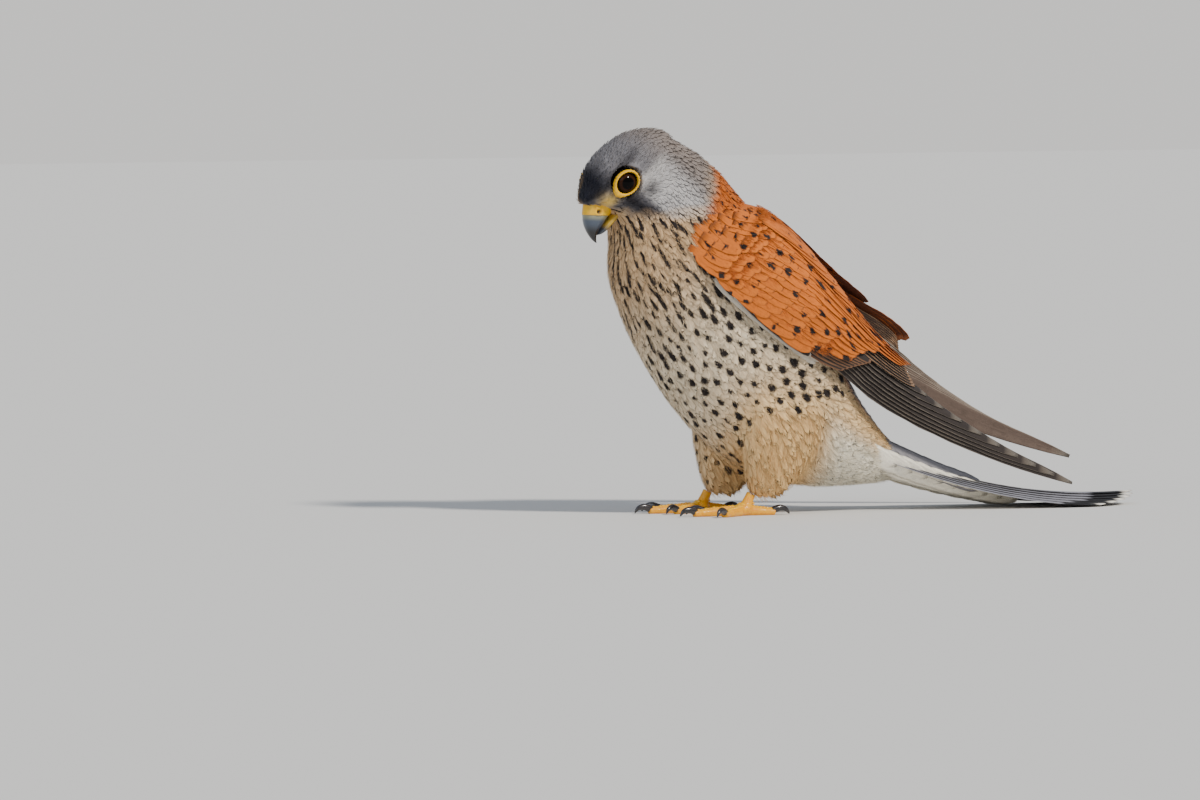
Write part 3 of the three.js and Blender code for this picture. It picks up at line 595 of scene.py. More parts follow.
class Skin:
    """The skin under the feathers, kept for the pieces that are set on it."""

    @classmethod
    def build(cls):
        depth = settings().coat_depth * 1000
        obj = remeshed("skin", ["head", "neck", "torso", "thigh_left", "thigh_right"], 1.25, 14, 0.3)
        points, normals = points_of(obj)
        points = points - normals * (depth + 0.3)
        set_points(obj.data, points)
        cls.points, cls.normals = points_of(obj)
        cls.triangles = triangles_of(obj.data)
        cls.tree = BVHTree.FromPolygons(cls.points.tolist(), cls.triangles.tolist())
        return obj

    @classmethod
    def settle(cls, points):
        """The nearest place on the skin for each point, with the normal there."""
        found = np.empty_like(points)
        normals = np.empty_like(points)
        for i, point in enumerate(points):
            at, _, index, _ = cls.tree.find_nearest(point)
            found[i] = at
            a, b, c = cls.triangles[index]
            normals[i] = cls.normals[a] + cls.normals[b] + cls.normals[c]
        return found, unit(normals)

    @classmethod
    def scatter(cls, spacing, wanted, seed):
        """Places on the skin about as far apart as spacing(points) says, where wanted(points) holds."""
        draw = np.random.default_rng(seed)
        a, b, c = (cls.points[cls.triangles[:, k]] for k in range(3))
        area = np.linalg.norm(np.cross(b - a, c - a), axis=1) / 2
        smallest = float(np.min(spacing(cls.points)))
        count = int(area.sum() / smallest**2 * 4.2)
        picked = draw.choice(len(area), count, p=area / area.sum())
        u, v = draw.random(count), draw.random(count)
        u, v = np.where(u + v > 1, 1 - u, u), np.where(u + v > 1, 1 - v, v)
        spots = a[picked] + (b - a)[picked] * u[:, None] + (c - a)[picked] * v[:, None]
        spots = spots[wanted(spots)]
        gaps = spacing(spots)
        cells, kept = {}, []
        size = float(gaps.max())
        keys = np.floor(spots / size).astype(int)
        near = [(i, j, k) for i in (-1, 0, 1) for j in (-1, 0, 1) for k in (-1, 0, 1)]
        for index, (key, gap) in enumerate(zip(map(tuple, keys), gaps)):
            clear = True
            x, y, z = spots[index]
            for i, j, k in near:
                for ox, oy, oz in cells.get((key[0] + i, key[1] + j, key[2] + k), ()):
                    if (ox - x) ** 2 + (oy - y) ** 2 + (oz - z) ** 2 < gap * gap:
                        clear = False
                        break
                if not clear:
                    break
            if clear:
                cells.setdefault(key, []).append((x, y, z))
                kept.append(index)
        return cls.settle(spots[kept])


def body_marks():
    """Centres of the dark drops and streaks on the underparts and of the spots on the back."""
    drops, normals = Skin.scatter(lambda p: 3.7 + 2.0 * smooth(30, 90, body_place(p)[0]),
                                  lambda p: plumage(p)[2] > 0.3, settings().seed)
    backs, back_normals = Skin.scatter(lambda p: np.full(len(p), 8.0),
                                       lambda p: (plumage(p)[3] > 0.6) & (p[:, 0] < 32),
                                       settings().seed + 1)
    centres = np.vstack((drops, backs))
    along = lie(centres, np.vstack((normals, back_normals)))
    run = body_place(centres)[0]
    down = smooth(35, 95, run)
    bold = smooth(1.0, 0.2, np.abs(body_place(centres)[1] - 1.5))
    wide = np.where(np.arange(len(centres)) < len(drops), 1.05 + (0.9 + 0.5 * bold) * down, 1.5)
    long = np.where(np.arange(len(centres)) < len(drops), 4.9 - 2.3 * down, 2.2)
    draw = np.random.default_rng(3)
    vary = draw.uniform(0.75, 1.25, len(centres))
    tree = kdtree.KDTree(len(centres))
    for i, centre in enumerate(centres):
        tree.insert(centre, i)
    tree.balance()
    return {"centres": centres, "along": along, "wide": wide * vary, "long": long * vary, "tree": tree}


def mark_values(points, marks):
    """Above 0 inside a dark mark, below 0 outside it."""
    points = np.asarray(points)
    best = np.full(len(points), -1.0)
    found = np.full((len(points), 3), -1, int)
    for i, point in enumerate(points):
        for k, (_, index, distance) in enumerate(marks["tree"].find_n(point, 3)):
            if distance < 8:
                found[i, k] = index
    for k in range(3):
        index = found[:, k]
        offset = points - marks["centres"][index]
        lengthways = (offset * marks["along"][index]).sum(1)
        sideways = np.sqrt(np.maximum((offset**2).sum(1) - lengthways**2, 0))
        long, wide = marks["long"][index], marks["wide"][index]
        taper = np.clip(0.75 + 0.45 * lengthways / long, 0.2, 1.2)
        value = 1 - np.sqrt((lengthways / long) ** 2 + (sideways / (wide * taper)) ** 2)
        best = np.maximum(best, np.where(index >= 0, value, -1.0))
    return np.clip(best, -1, 1)


# Feathers set on the skin


def vane_grid(rows, columns, flip=False, tipward=1.0):
    """Places on a feather: across from -1 to 1 and along from 0 to 1, and its faces, closed below.
    The columns gather at the rims, and the rows at the tip for tipward above 1."""
    b, a = np.meshgrid(np.linspace(0, 1, rows + 1), np.linspace(-1, 1, columns + 1), indexing="ij")
    a, b = np.sin(a.ravel() * math.pi / 2), 1 - (1 - b.ravel()) ** tipward
    width = columns + 1
    top = np.arange(len(a))
    rim = (np.abs(a) > 0.999) | (b < 1e-6) | (b > 1 - 1e-6)
    below = np.where(rim, top, 0)
    below[~rim] = len(a) + np.arange((~rim).sum())
    faces = []
    for i in range(rows):
        for j in range(columns):
            corner = [i * width + j, i * width + j + 1, (i + 1) * width + j + 1, (i + 1) * width + j]
            faces.append(corner)
            faces.append([below[c] for c in reversed(corner)])
    faces = np.array(faces)
    return a, b, np.flatnonzero(~rim), faces[:, ::-1] if flip else faces


def outline(b, point=0.25):
    """A feather's half width along its length, as a share of its widest."""
    swell = np.minimum(1, 0.35 + 1.7 * b)
    rounded = np.sqrt(np.clip(1 - (np.clip(b - 0.55, 0, None) / 0.46) ** 2, 0, 1))
    pointed = 1 - (np.clip(b - 0.45, 0, None) / 0.56) ** 1.5
    return swell * ((1 - point) * rounded + point * pointed)


def turned(along, side, turn):
    """Two directions that are square to each other, turned in their own plane."""
    cos, sin = np.cos(turn), np.sin(turn)
    return along * cos + side * sin, side * cos - along * sin


def skin_feathers(name, roots, normals, length, width, raise_to, marks, material, seed, ragged,
                  loose=0.0):
    """Feathers with their roots on the skin, each laid along it and over the ones behind. loose is
    how far they leave the skin's curve."""
    draw = np.random.default_rng(seed)
    count = len(roots)
    along = lie(roots, normals)
    side = unit(np.cross(normals, along))
    along, side = turned(along, side, draw.normal(0, 0.12, count)[:, None])
    length = length * draw.uniform(0.85, 1.15, count)
    a, b, inner, faces = vane_grid(4, 4, flip=True)
    half = 1 + ragged * draw.normal(0, 1, (count, len(a))) * (b > 0.5)
    half = width[:, None] / 2 * outline(b)[None] * half
    reach = 1 - ragged * 0.5 * np.abs(draw.normal(0, 1, (count, len(a)))) * (b > 0.9)
    reach = length[:, None] * b[None] * reach
    reach = reach * (1 - 0.1 * a[None] ** 2 * b[None])
    flat = roots[:, None] + along[:, None] * reach[..., None] + side[:, None] * (half * a)[..., None]
    settled, up = Skin.settle(flat.reshape(-1, 3))
    settled, up = settled.reshape(flat.shape), up.reshape(flat.shape)
    settled = settled + (flat - settled) * loose
    jitter = draw.uniform(0.8, 1.25, count)[:, None]
    rise = -0.25 + (raise_to[:, None] * jitter + 0.25) * b[None]
    camber = 0.045 * width[:, None] * (1 - a[None] ** 2) * b[None]
    top = settled + up * (rise + camber)[..., None]
    under = top[:, inner] - up[:, inner] * 0.07
    points = np.concatenate((top, under), 1)
    per = points.shape[1]
    every = (faces[None] + np.arange(count)[:, None, None] * per).reshape(-1, 4)
    flat_points = points.reshape(-1, 3)
    colours = plumage(flat_points)[0]
    values = mark_values(flat_points, marks) if marks else np.full(len(flat_points), -1.0)
    info = plumage(roots)
    strength = np.repeat(np.maximum(info[2], info[3]), per)
    values = np.where(strength > MARKED, values, -1.0)
    streaks = np.repeat(info[1], per) * np.tile(np.r_[b, b[inner]], count)
    local = np.column_stack((0.5 + 0.5 * np.r_[a, a[inner]], np.r_[b, b[inner]]))
    uv = local[faces.ravel()]
    root_map = wrap_map(roots)
    patch = root_map[:, None] + (uv[None] - 0.5) * PATCH
    return new_object(name, flat_points, every, material, colours, values, streaks,
                      np.tile(uv, (count, 1)), patch.reshape(-1, 2))


def skin_strands(name, roots, normals, length, width, rise, marks, material, seed, loose,
                 change=0.2):
    """Loose barbs that lie over the feathers and soften them. loose is how far they leave the
    skin's curve, change how much they differ in shade."""
    draw = np.random.default_rng(seed)
    count = len(roots)
    along = lie(roots, normals)
    side = unit(np.cross(normals, along))
    along, side = turned(along, side, draw.normal(0, 0.22, count)[:, None])
    t = np.array((0.0, 0.4, 0.75, 1.0))
    reach = (length * draw.uniform(0.6, 1.2, count))[:, None] * t
    bend = reach * t * draw.normal(0, 0.16, count)[:, None]
    line = roots[:, None] + along[:, None] * reach[..., None] + side[:, None] * bend[..., None]
    settled, up = Skin.settle(line.reshape(-1, 3))
    settled, up = settled.reshape(line.shape), up.reshape(line.shape)
    settled = settled + (line - settled) * loose
    lift = -0.2 + (0.2 + rise * draw.uniform(0.6, 1.35, count)[:, None]) * t**0.7
    line = settled + up * lift[..., None]
    marked = np.maximum(*plumage(roots)[2:4]) > MARKED

    def paint(flat):
        values = mark_values(flat, marks) if marks else np.full(len(flat), -1.0)
        return plumage(flat)[0], np.where(np.repeat(marked, 10), values, -1.0)

    shade = draw.uniform(1 - change, 1 + change, count)
    return strand_mesh(name, line, side, up, width, paint, shade, wrap_map(roots), material)


def strand_mesh(name, line, side, up, width, paint, shade, patches, material):
    """Thin three-sided strands that run through four places each to a point."""
    count = len(line)
    half = width / 2 * np.array((1.0, 0.9, 0.6))[None, :, None]
    rings = np.stack((line[:, :3] + side[:, None] * half, line[:, :3] + up[:, :3] * half * 0.8,
                      line[:, :3] - side[:, None] * half), 2)
    points = np.concatenate((rings.reshape(count, 9, 3), line[:, 3:]), 1)
    faces = [(0, 2, 1)]
    for k in (0, 3):
        for i, j in ((0, 1), (1, 2), (2, 0)):
            faces += [(k + i, k + j, k + 3 + j), (k + i, k + 3 + j, k + 3 + i)]
    faces = np.array(faces + [(6, 7, 9), (7, 8, 9), (8, 6, 9)])
    every = (faces[None] + np.arange(count)[:, None, None] * 10).reshape(-1, 3)
    flat = points.reshape(-1, 3)
    colours, values = paint(flat)
    colours = np.clip(colours * np.repeat(shade, 10)[:, None], 0, 1)
    local = np.array([(i / 2, k / 3) for k in range(3) for i in range(3)] + [(0.5, 1.0)])
    uv = local[faces.ravel()]
    patch = patches[:, None] + (uv[None] - 0.5) * PATCH
    return new_object(name, flat, every, material, colours, values, np.zeros(len(flat)),
                      np.tile(uv, (count, 1)), patch.reshape(-1, 2))


# Feathers set on a wing's or the tail's face


class WingFace:
    """A folded wing's outer face: u from the wrist to the tip, v from its lower to its upper edge."""

    def __init__(self, edges):
        self.lower, self.upper = edges["lower"], edges["upper"]
        self.side = np.sign(self.lower[0][1])

    def point(self, u, v):
        u, v = np.asarray(u, float).ravel(), np.asarray(v, float).ravel()
        held = np.clip(u, 0, 1)
        low, high = catmull(self.lower, held), catmull(self.upper, held)
        step = 0.004
        ahead = catmull(self.lower, held + step) + catmull(self.upper, held + step)
        behind = catmull(self.lower, held - step) + catmull(self.upper, held - step)
        out = unit(np.cross(ahead - behind, high - low))
        out = out * np.where(out[:, 1:2] * self.side < 0, -1, 1)
        swell = catmull([(s, 0) for s in WING_SWELL], held)[:, :1] * (4 * v * (1 - v))[:, None]
        past = (u - held)[:, None] * unit(ahead - behind) * WING_LENGTH
        return low + (high - low) * v[:, None] + out * swell + past

    def frame(self, u, v):
        u, v = np.asarray(u, float).ravel(), np.asarray(v, float).ravel()
        step = 0.01
        along = unit(self.point(u + step, v) - self.point(u - step, v))
        across = self.point(u, v + step) - self.point(u, v - step)
        across = unit(across - along * (across * along).sum(1, keepdims=True))
        out = np.cross(along, across)
        out = out * np.where(out[:, 1:2] * self.side < 0, -1, 1)
        return along, across, unit(out)


def laid_feathers(name, place, feathers, material, rows, columns=6, seed=5, tipward=1.0):
    """Feathers on a face. Each has its root and tip on the face, its width, the heights of its root
    and tip, its tilt and paint functions for its upper and under side. place(u, v) gives points
    on the face and the directions across and out."""
    a, b, inner, faces = vane_grid(rows, columns, tipward=tipward)
    middle, across, out = place(np.array((0.1, 0.12)), np.array((0.5, 0.5)))
    if np.dot(np.cross(across[0], middle[1] - middle[0]), out[0]) < 0:
        faces = faces[:, ::-1]
    draw = np.random.default_rng(seed)
    verts, colours, values, every, uvs, patches = [], [], [], [], [], []
    for index, feather in enumerate(feathers):
        (u0, v0), (u1, v1) = feather["from"], feather["to"]
        if "row" in feather:
            du, dv = draw.uniform(-0.008, 0.008), draw.uniform(-0.012, 0.012)
            u0, u1, v0, v1 = u0 + du, u1 + du, v0 + dv, v1 + dv + draw.uniform(-0.015, 0.015)
        u, v = u0 + (u1 - u0) * b, v0 + (v1 - v0) * b
        middle, across, out = place(u, v)
        half = feather["width"] / 2 * outline(b, feather.get("point", 0.3))
        rough = 0.045 if "row" in feather else 0.02
        notch = 1 + rough * draw.normal(0, 1, len(a)) * (b > 0.3)
        middle = middle + across * (a * half * notch)[:, None]
        lift0, lift1 = feather["lift"]
        height = lift0 + (lift1 - lift0) * b - feather.get("tilt", 0.1) * a * half
        height = height + feather.get("camber", 0.3) * (1 - a**2)
        top = middle + out * height[:, None]
        under = top[inner] - out[inner] * feather.get("thick", 0.2)
        verts.append(np.vstack((top, under)))
        paint = feather["paint"]
        feather = {**feather, "u": u, "v": v + a * half / WING_DEPTH}
        colour, mark = paint(a, b, feather)
        low_colour, low_mark = feather.get("under", paint)(a[inner], b[inner], feather)
        colours.append(np.vstack((colour, low_colour)))
        values.append(np.concatenate((mark, low_mark)))
        every.append(faces + index * (len(a) + len(inner)))
        local = np.column_stack((0.5 + 0.5 * np.r_[a, a[inner]], np.r_[b, b[inner]]))
        uv = local[faces.ravel()]
        uvs.append(uv)
        root = np.array((0.02 + 0.9 * u0, 0.05 + 0.9 * np.clip(v0, 0, 1)))
        patches.append(root + (uv - 0.5) * PATCH + (index % 7) * 0.004)
    return new_object(name, np.vstack(verts), np.vstack(every), material, np.vstack(colours),
                      np.concatenate(values), np.zeros(sum(map(len, values))), np.vstack(uvs),
                      np.vstack(patches))


def row(count, first, last, **more):
    """Feathers evenly spaced between a first and a last one."""
    made = []
    for i in range(count):
        t = i / max(count - 1, 1)
        mixed = {}
        for key in first:
            low, high = np.asarray(first[key], float), np.asarray(last[key], float)
            mixed[key] = tuple(low + (high - low) * t) if low.ndim else float(low + (high - low) * t)
        made.append({**mixed, "number": i, **more})
    return made


def vary(rgb, number, amount=0.08):
    draw = np.random.default_rng(int(abs(number) * 977 + 13))
    return np.asarray(rgb) * draw.uniform(1 - amount, 1 + amount)


def wing_spots(u, v):
    """Above 0 inside the dark arrowheads of a wing's coverts, which stand in loose rows."""
    apart, beside = 8.6, 7.2
    far, high = np.asarray(u) * WING_LENGTH / apart, np.asarray(v) * WING_DEPTH / beside
    line = np.round(far)
    high = high + 0.5 * (line % 2)
    place = np.round(high)
    chance = np.modf(np.abs(np.sin(line * 12.9898 + place * 78.233)) * 4375.85)[0]
    other = np.modf(chance * 91.7)[0]
    along = (far - line - 0.34 * (chance - 0.5)) * apart
    across = (high - place - 0.34 * (other - 0.5)) * beside
    size = (0.8 + 0.5 * other) * (0.8 + 0.9 * np.clip(u, 0, 0.5))
    taper = np.clip(0.8 + 0.3 * along / size, 0.3, 1.3)
    value = 1 - np.sqrt((along / (2.3 * size)) ** 2 + (across / (1.55 * size * taper)) ** 2)
    return np.where(chance < 0.86, value, -1.0)


def paint_chestnut(bars=0):
    """Chestnut with black arrowheads, or with bars."""

    def paint(a, b, feather):
        colour = np.tile(vary(settings().chestnut, feather["number"] + feather["width"]), (len(a), 1))
        colour = blend(colour, np.asarray(settings().chestnut) * (1.2, 1.3, 1.4), smooth(0.8, 1, b) * 0.5)
        mark = wing_spots(feather["u"], feather["v"]) if "row" in feather else np.full(len(a), -1.0)
        for k in range(bars):
            centre = 0.25 + 0.5 * k / max(bars, 1)
            bar = 1 - np.abs(b - centre + 0.06 * np.abs(a)) / 0.05
            mark = np.maximum(mark, bar - 0.6 * smooth(0.75, 0.5, np.abs(a)))
        return np.clip(colour, 0, 1), np.clip(mark, -1, 1)

    return paint


def paint_flight(colour, edge, edge_width):
    """A dark flight feather with a thin pale edge."""

    def paint(a, b, feather):
        made = np.tile(vary(colour, feather["number"], 0.06), (len(a), 1))
        made = blend(made, edge, smooth(1 - edge_width, 1, np.maximum(np.abs(a), smooth(0.965, 1, b))))
        return np.clip(made, 0, 1), np.full(len(a), -1.0)

    return paint


def paint_plain(colour):
    def paint(a, b, feather):
        return np.tile(vary(colour, feather["number"], 0.05), (len(a), 1)), np.full(len(a), -1.0)

    return paint


def wing_feathers(far):
    """All feathers of one wing, tier by tier."""
    flight = np.array(settings().flight)
    # Under sides of the dark feathers: on the far wing they are painted darker than on the near wing, as
    # painted shade.
    below = {"under": paint_plain(srgb(104, 88, 78) if far else srgb(150, 140, 130))}
    rusty = {"under": paint_plain(srgb(118, 66, 40))}
    pale = srgb(150, 138, 124)
    tiers = {}
    tiers["primaries"] = row(
        9,
        {"from": (0.3, 0.1), "to": (1.0, 0.3), "width": 12.5, "lift": (-3, -2.6)},
        {"from": (0.3, 0.5), "to": (0.72, 0.7), "width": 14, "lift": (-2.2, 0.9)},
        tilt=0.08, paint=paint_flight(flight * 0.85, pale, 0.06), point=0.45, **below,
    )
    tiers["secondaries"] = row(
        7,
        {"from": (0.28, 0.46), "to": (0.68, 0.68), "width": 14, "lift": (-1.4, 1.5)},
        {"from": (0.28, 0.76), "to": (0.645, 0.85), "width": 15, "lift": (-1, 3.3)},
        tilt=0.08, point=0.1, paint=paint_flight(flight * 0.95, srgb(206, 160, 120), 0.08), **below,
    )
    tiers["tertials"] = row(
        5,
        {"from": (0.26, 0.58), "to": (0.61, 0.76), "width": 17, "lift": (0, 3.7)},
        {"from": (0.26, 0.9), "to": (0.665, 0.95), "width": 16, "lift": (0.4, 5.7)},
        tilt=0.08, point=0.1, paint=paint_chestnut(bars=3), **rusty,
    )
    tiers["primary_coverts"] = row(
        8,
        {"from": (0.2, 0.06), "to": (0.45, 0.08), "width": 9, "lift": (-1.5, 0.6)},
        {"from": (0.2, 0.3), "to": (0.5, 0.36), "width": 11, "lift": (-1, 1.7)},
        tilt=0.08, point=0.2, paint=paint_flight(flight * 0.85, srgb(170, 120, 84), 0.14), **below,
    )
    tiers["greater_coverts"] = row(
        12,
        {"from": (0.2, 0.22), "to": (0.44, 0.2), "width": 11, "lift": (1.2, 2.4)},
        {"from": (0.2, 0.84), "to": (0.55, 0.86), "width": 14, "lift": (3.8, 5.2)},
        row=11, tilt=0.05, point=0.05, camber=0.2, thick=0.12, paint=paint_chestnut(), **rusty,
    )
    tiers["median_coverts"] = row(
        13,
        {"from": (0.18, 0.1), "to": (0.34, 0.12), "width": 9, "lift": (1.6, 2.6)},
        {"from": (0.18, 0.86), "to": (0.45, 0.88), "width": 12, "lift": (4.0, 5.3)},
        row=12, tilt=0.04, point=0.05, camber=0.2, thick=0.12, paint=paint_chestnut(), **rusty,
    )
    lesser = []
    for k in range(10):
        u = 0.2 - 0.027 * k
        shift = 0.028 * (k % 2)
        sink = max(0, k - 5) ** 1.3
        lesser += row(
            15,
            {"from": (u, 0.03 + shift), "to": (u + 0.115, 0.04 + shift), "width": 8.5,
             "lift": (1.7 - sink, 2.5 + 0.04 * k)},
            {"from": (u + 0.01, 0.88 + shift), "to": (u + 0.15, 0.9 + shift), "width": 10.5,
             "lift": (3.7 - sink, 4.6 + 0.04 * k)},
            row=k, tilt=0.02, point=0.05, camber=0.14, thick=0.08,
            paint=paint_chestnut(), **rusty,
        )
    tiers["lesser_coverts"] = lesser
    scapulars = []
    for k in range(7):
        u = 0.32 - 0.04 * k
        scapulars += row(
            9,
            {"from": (u, 0.66), "to": (u + 0.15, 0.74), "width": 9.5, "lift": (4.3, 5.15 + 0.07 * k)},
            {"from": (u, 1.1), "to": (u + 0.16, 1.06), "width": 9.5, "lift": (4.0, 4.9 + 0.07 * k)},
            row=k + 20, tilt=0.02, point=0.05, camber=0.14, thick=0.08,
            paint=paint_chestnut(), **rusty,
        )
    tiers["scapulars"] = scapulars
    tiers["alula"] = row(
        4,
        {"from": (0.1, 0.01), "to": (0.33, 0.0), "width": 7, "lift": (0, 1.0)},
        {"from": (0.1, 0.08), "to": (0.26, 0.07), "width": 7, "lift": (0.2, 2.0)},
        tilt=0.05, point=0.2, paint=paint_flight(flight * 0.8, srgb(214, 204, 190), 0.2), **below,
    )
    edge = []
    for k in range(10):
        u = 0.06 + 0.027 * k
        edge += row(
            2,
            {"from": (u, -0.02), "to": (u + 0.07, -0.03), "width": 3.6, "lift": (-2.5, -1.4)},
            {"from": (u, 0.03), "to": (u + 0.075, 0.01), "width": 3.6, "lift": (-1.8, -0.4)},
            tilt=0.05, point=0.1, paint=paint_plain(srgb(206, 196, 180)), thick=0.2,
        )
    tiers["wing_edge"] = edge
    return tiers


def wing_barbs(name, face, count, material, seed):
    """Loose barbs over a wing's chestnut coverts, with the same spots."""
    draw = np.random.default_rng(seed)
    u, v = draw.uniform(0.06, 0.5, count), draw.uniform(0.05, 0.97, count)
    kept = u + 0.03 < 0.37 + 0.16 * v
    u, v = u[kept], v[kept]
    count = len(u)
    t = np.array((0.0, 0.4, 0.75, 1.0))
    reach = 0.026 * draw.uniform(0.6, 1.3, count)[:, None] * t
    us = u[:, None] + reach
    vs = v[:, None] + reach * draw.normal(0, 0.5, count)[:, None] * (1 + t)
    _, across, out = face.frame(us, vs)
    high = 2.35 + 2.3 * vs + 0.45 * smooth(0.64, 0.7, vs) * smooth(0.48, 0.44, us)
    high = high - 0.2 + 0.5 * t + draw.uniform(-0.1, 0.15, count)[:, None]
    line = (face.point(us, vs) + out * high.ravel()[:, None]).reshape(count, 4, 3)
    across, out = across.reshape(count, 4, 3)[:, 0], out.reshape(count, 4, 3)
    spots = wing_spots(us, vs)
    spots = np.column_stack((np.repeat(spots[:, :3], 3, 1), spots[:, 3:]))
    shade = draw.uniform(0.78, 1.2, count)

    def paint(flat):
        return np.tile(settings().chestnut, (len(flat), 1)), np.clip(spots.ravel(), -1, 1)

    patches = np.column_stack((0.02 + 0.9 * u, 0.05 + 0.9 * v))
    return strand_mesh(name, line, across, out, 0.17, paint, shade, patches, material)


def wing_core(face):
    """The arm under the coverts, as a closed plate."""
    rings = []
    for i in range(15):
        u = -0.002 + 0.4 * i / 14
        taper = math.sqrt(max(0.02, 1 - (i / 14) ** 3)) * min(1, 0.1 + i / 3)
        v = np.linspace(0.03, 0.95, 15)
        _, _, out = face.frame(np.full(15, max(u, 0.011)), v)
        rim = 0.3 + 0.7 * np.sqrt(np.maximum(0, 1 - (2 * (v - 0.03) / 0.92 - 1) ** 4))
        base = face.point(np.full(15, u), v)
        outer = base - out * (1.6 - taper * rim)[:, None]
        inner = base - out * (1.9 + 8 * taper * rim)[:, None]
        rings.append(np.vstack((outer, inner[::-1])))
    return rings


def ring_faces(rows, count):
    """Quads that join rows of count points, with fans of quads closing both ends."""
    i, j = np.meshgrid(np.arange(rows - 1), np.arange(count), indexing="ij")
    a = (i * count + j).ravel()
    b = (i * count + (j + 1) % count).ravel()
    faces = np.column_stack((a, b, b + count, a + count))
    caps = []
    half = count // 2
    for start, flip in ((0, True), ((rows - 1) * count, False)):
        for k in range(half - 1):
            quad = [start + k, start + k + 1, start + count - 2 - k, start + count - 1 - k]
            caps.append(quad[::-1] if flip else quad)
    return np.vstack((faces, np.array(caps)))


def tube_rings(path, radii, sides, flatness):
    """Rings of points round a path in the bird's millimetres, with a radius at each point."""
    path = np.asarray(path, float)
    along = unit(np.gradient(path, axis=0))
    side = np.column_stack((-along[:, 1], along[:, 0], np.zeros(len(path))))
    side = np.where(np.linalg.norm(side, axis=1, keepdims=True) < 0.05, (0.0, 1.0, 0.0), side)
    side = unit(side)
    up = np.cross(side, along)
    turn = 2 * math.pi * (np.arange(sides) + 0.5) / sides
    radii = np.asarray(radii, float)[:, None, None]
    return (path[:, None] + side[:, None] * np.cos(turn)[None, :, None] * radii
            + up[:, None] * np.sin(turn)[None, :, None] * radii * flatness)


def facing_out(obj):
    """Turns a closed piece's faces outwards."""
    work = bmesh.new()
    work.from_mesh(obj.data)
    bmesh.ops.remove_doubles(work, verts=work.verts, dist=1e-7)
    bmesh.ops.recalc_face_normals(work, faces=work.faces)
    work.to_mesh(obj.data)
    work.free()
    return obj


# Operators


class KESTREL_OT_skin(bpy.types.Operator):
    """Skin of the head, neck, body and thighs"""

    bl_idname = "kestrel.skin"
    bl_label = "Skin"

    def execute(self, context):
        obj = Skin.build()
        Skin.marks = body_marks()
        colours, streak, spots, back, _ = plumage(Skin.points)
        values = np.where(np.maximum(spots, back) > MARKED, mark_values(Skin.points, Skin.marks), -1.0)
        mesh = obj.data
        corners = np.empty(len(mesh.loops), np.int32)
        mesh.loops.foreach_get("vertex_index", corners)
        chart = wrap_map(Skin.points)[corners]
        counts = np.empty(len(mesh.polygons), np.int32)
        mesh.polygons.foreach_get("loop_total", counts)
        # A face across the chart's seam keeps to the side of its first corner.
        jump = chart[:, 0] - np.repeat(chart[np.r_[0, np.cumsum(counts)[:-1]], 0], counts)
        chart[:, 0] = np.where(jump > 0.5, 0.02, np.where(jump < -0.5, 0.98, chart[:, 0]))
        give(mesh, colours, values, streak * 0.3, chart, chart)
        mesh.materials.clear()
        mesh.materials.append(feather_material("Down", 0.85, 0.1))
        finish_piece(obj, "body_plumage", "head", "neck", "torso", "thigh_left", "thigh_right")
        return {"FINISHED"}


class KESTREL_OT_coat(bpy.types.Operator):
    """Small feathers of the breast, belly, back and thighs"""

    bl_idname = "kestrel.coat"
    bl_label = "Body feathers"

    def execute(self, context):
        s = settings()
        spacing, length = s.body_spacing * 1000, s.body_feather * 1000

        def region(points):
            """0 breast, 1 belly, 2 back, 3 thighs, -1 head."""
            _, _, _, back, head = plumage(points)
            lower = 1 + 2 * (thigh_share(points) >= 0.35)
            made = np.where(back >= 0.5, 2, np.where(body_place(points)[0] < 78, 0, lower))
            return np.where(head < 0.5, made, -1)

        for k, name in enumerate(("breast", "belly", "back", "thighs")):
            def wanted(points, k=k):
                return region(points) == k

            thigh = name == "thighs"
            slot = "thigh_plumage" if thigh else "body_plumage"
            material = feather_material("Body feather")
            roots, normals = Skin.scatter(lambda p: np.full(len(p), spacing), wanted, s.seed + 20 + k)
            long = np.full(len(roots), length * (1.15 if thigh else 1))
            wide, rise = long * (0.26 if thigh else 0.38), np.full(len(roots), 0.55)
            finish_piece(skin_feathers("coat_" + name, roots, normals, long, wide, rise, Skin.marks,
                                       material, s.seed + k, 0.26, 0.35 if thigh else 0.0), slot)
            gap = spacing * 0.39
            roots, normals = Skin.scatter(lambda p: np.full(len(p), gap), wanted, s.seed + 40 + k)
            soft = np.full(len(roots), 1.25 if thigh else 0.8)
            vent = smooth(20, 45, roots[:, 0]) * smooth(1.0, 1.6, body_place(roots)[1])
            soft = soft * (1 + 0.6 * vent) * (0.75 if name == "back" else 1)
            finish_piece(skin_strands("down_" + name, roots, normals, length * soft, 0.18,
                                      0.75 if name == "back" else 1.0, Skin.marks, material,
                                      s.seed + 50 + k, 0.4 if thigh else 0.2), slot)
        return {"FINISHED"}


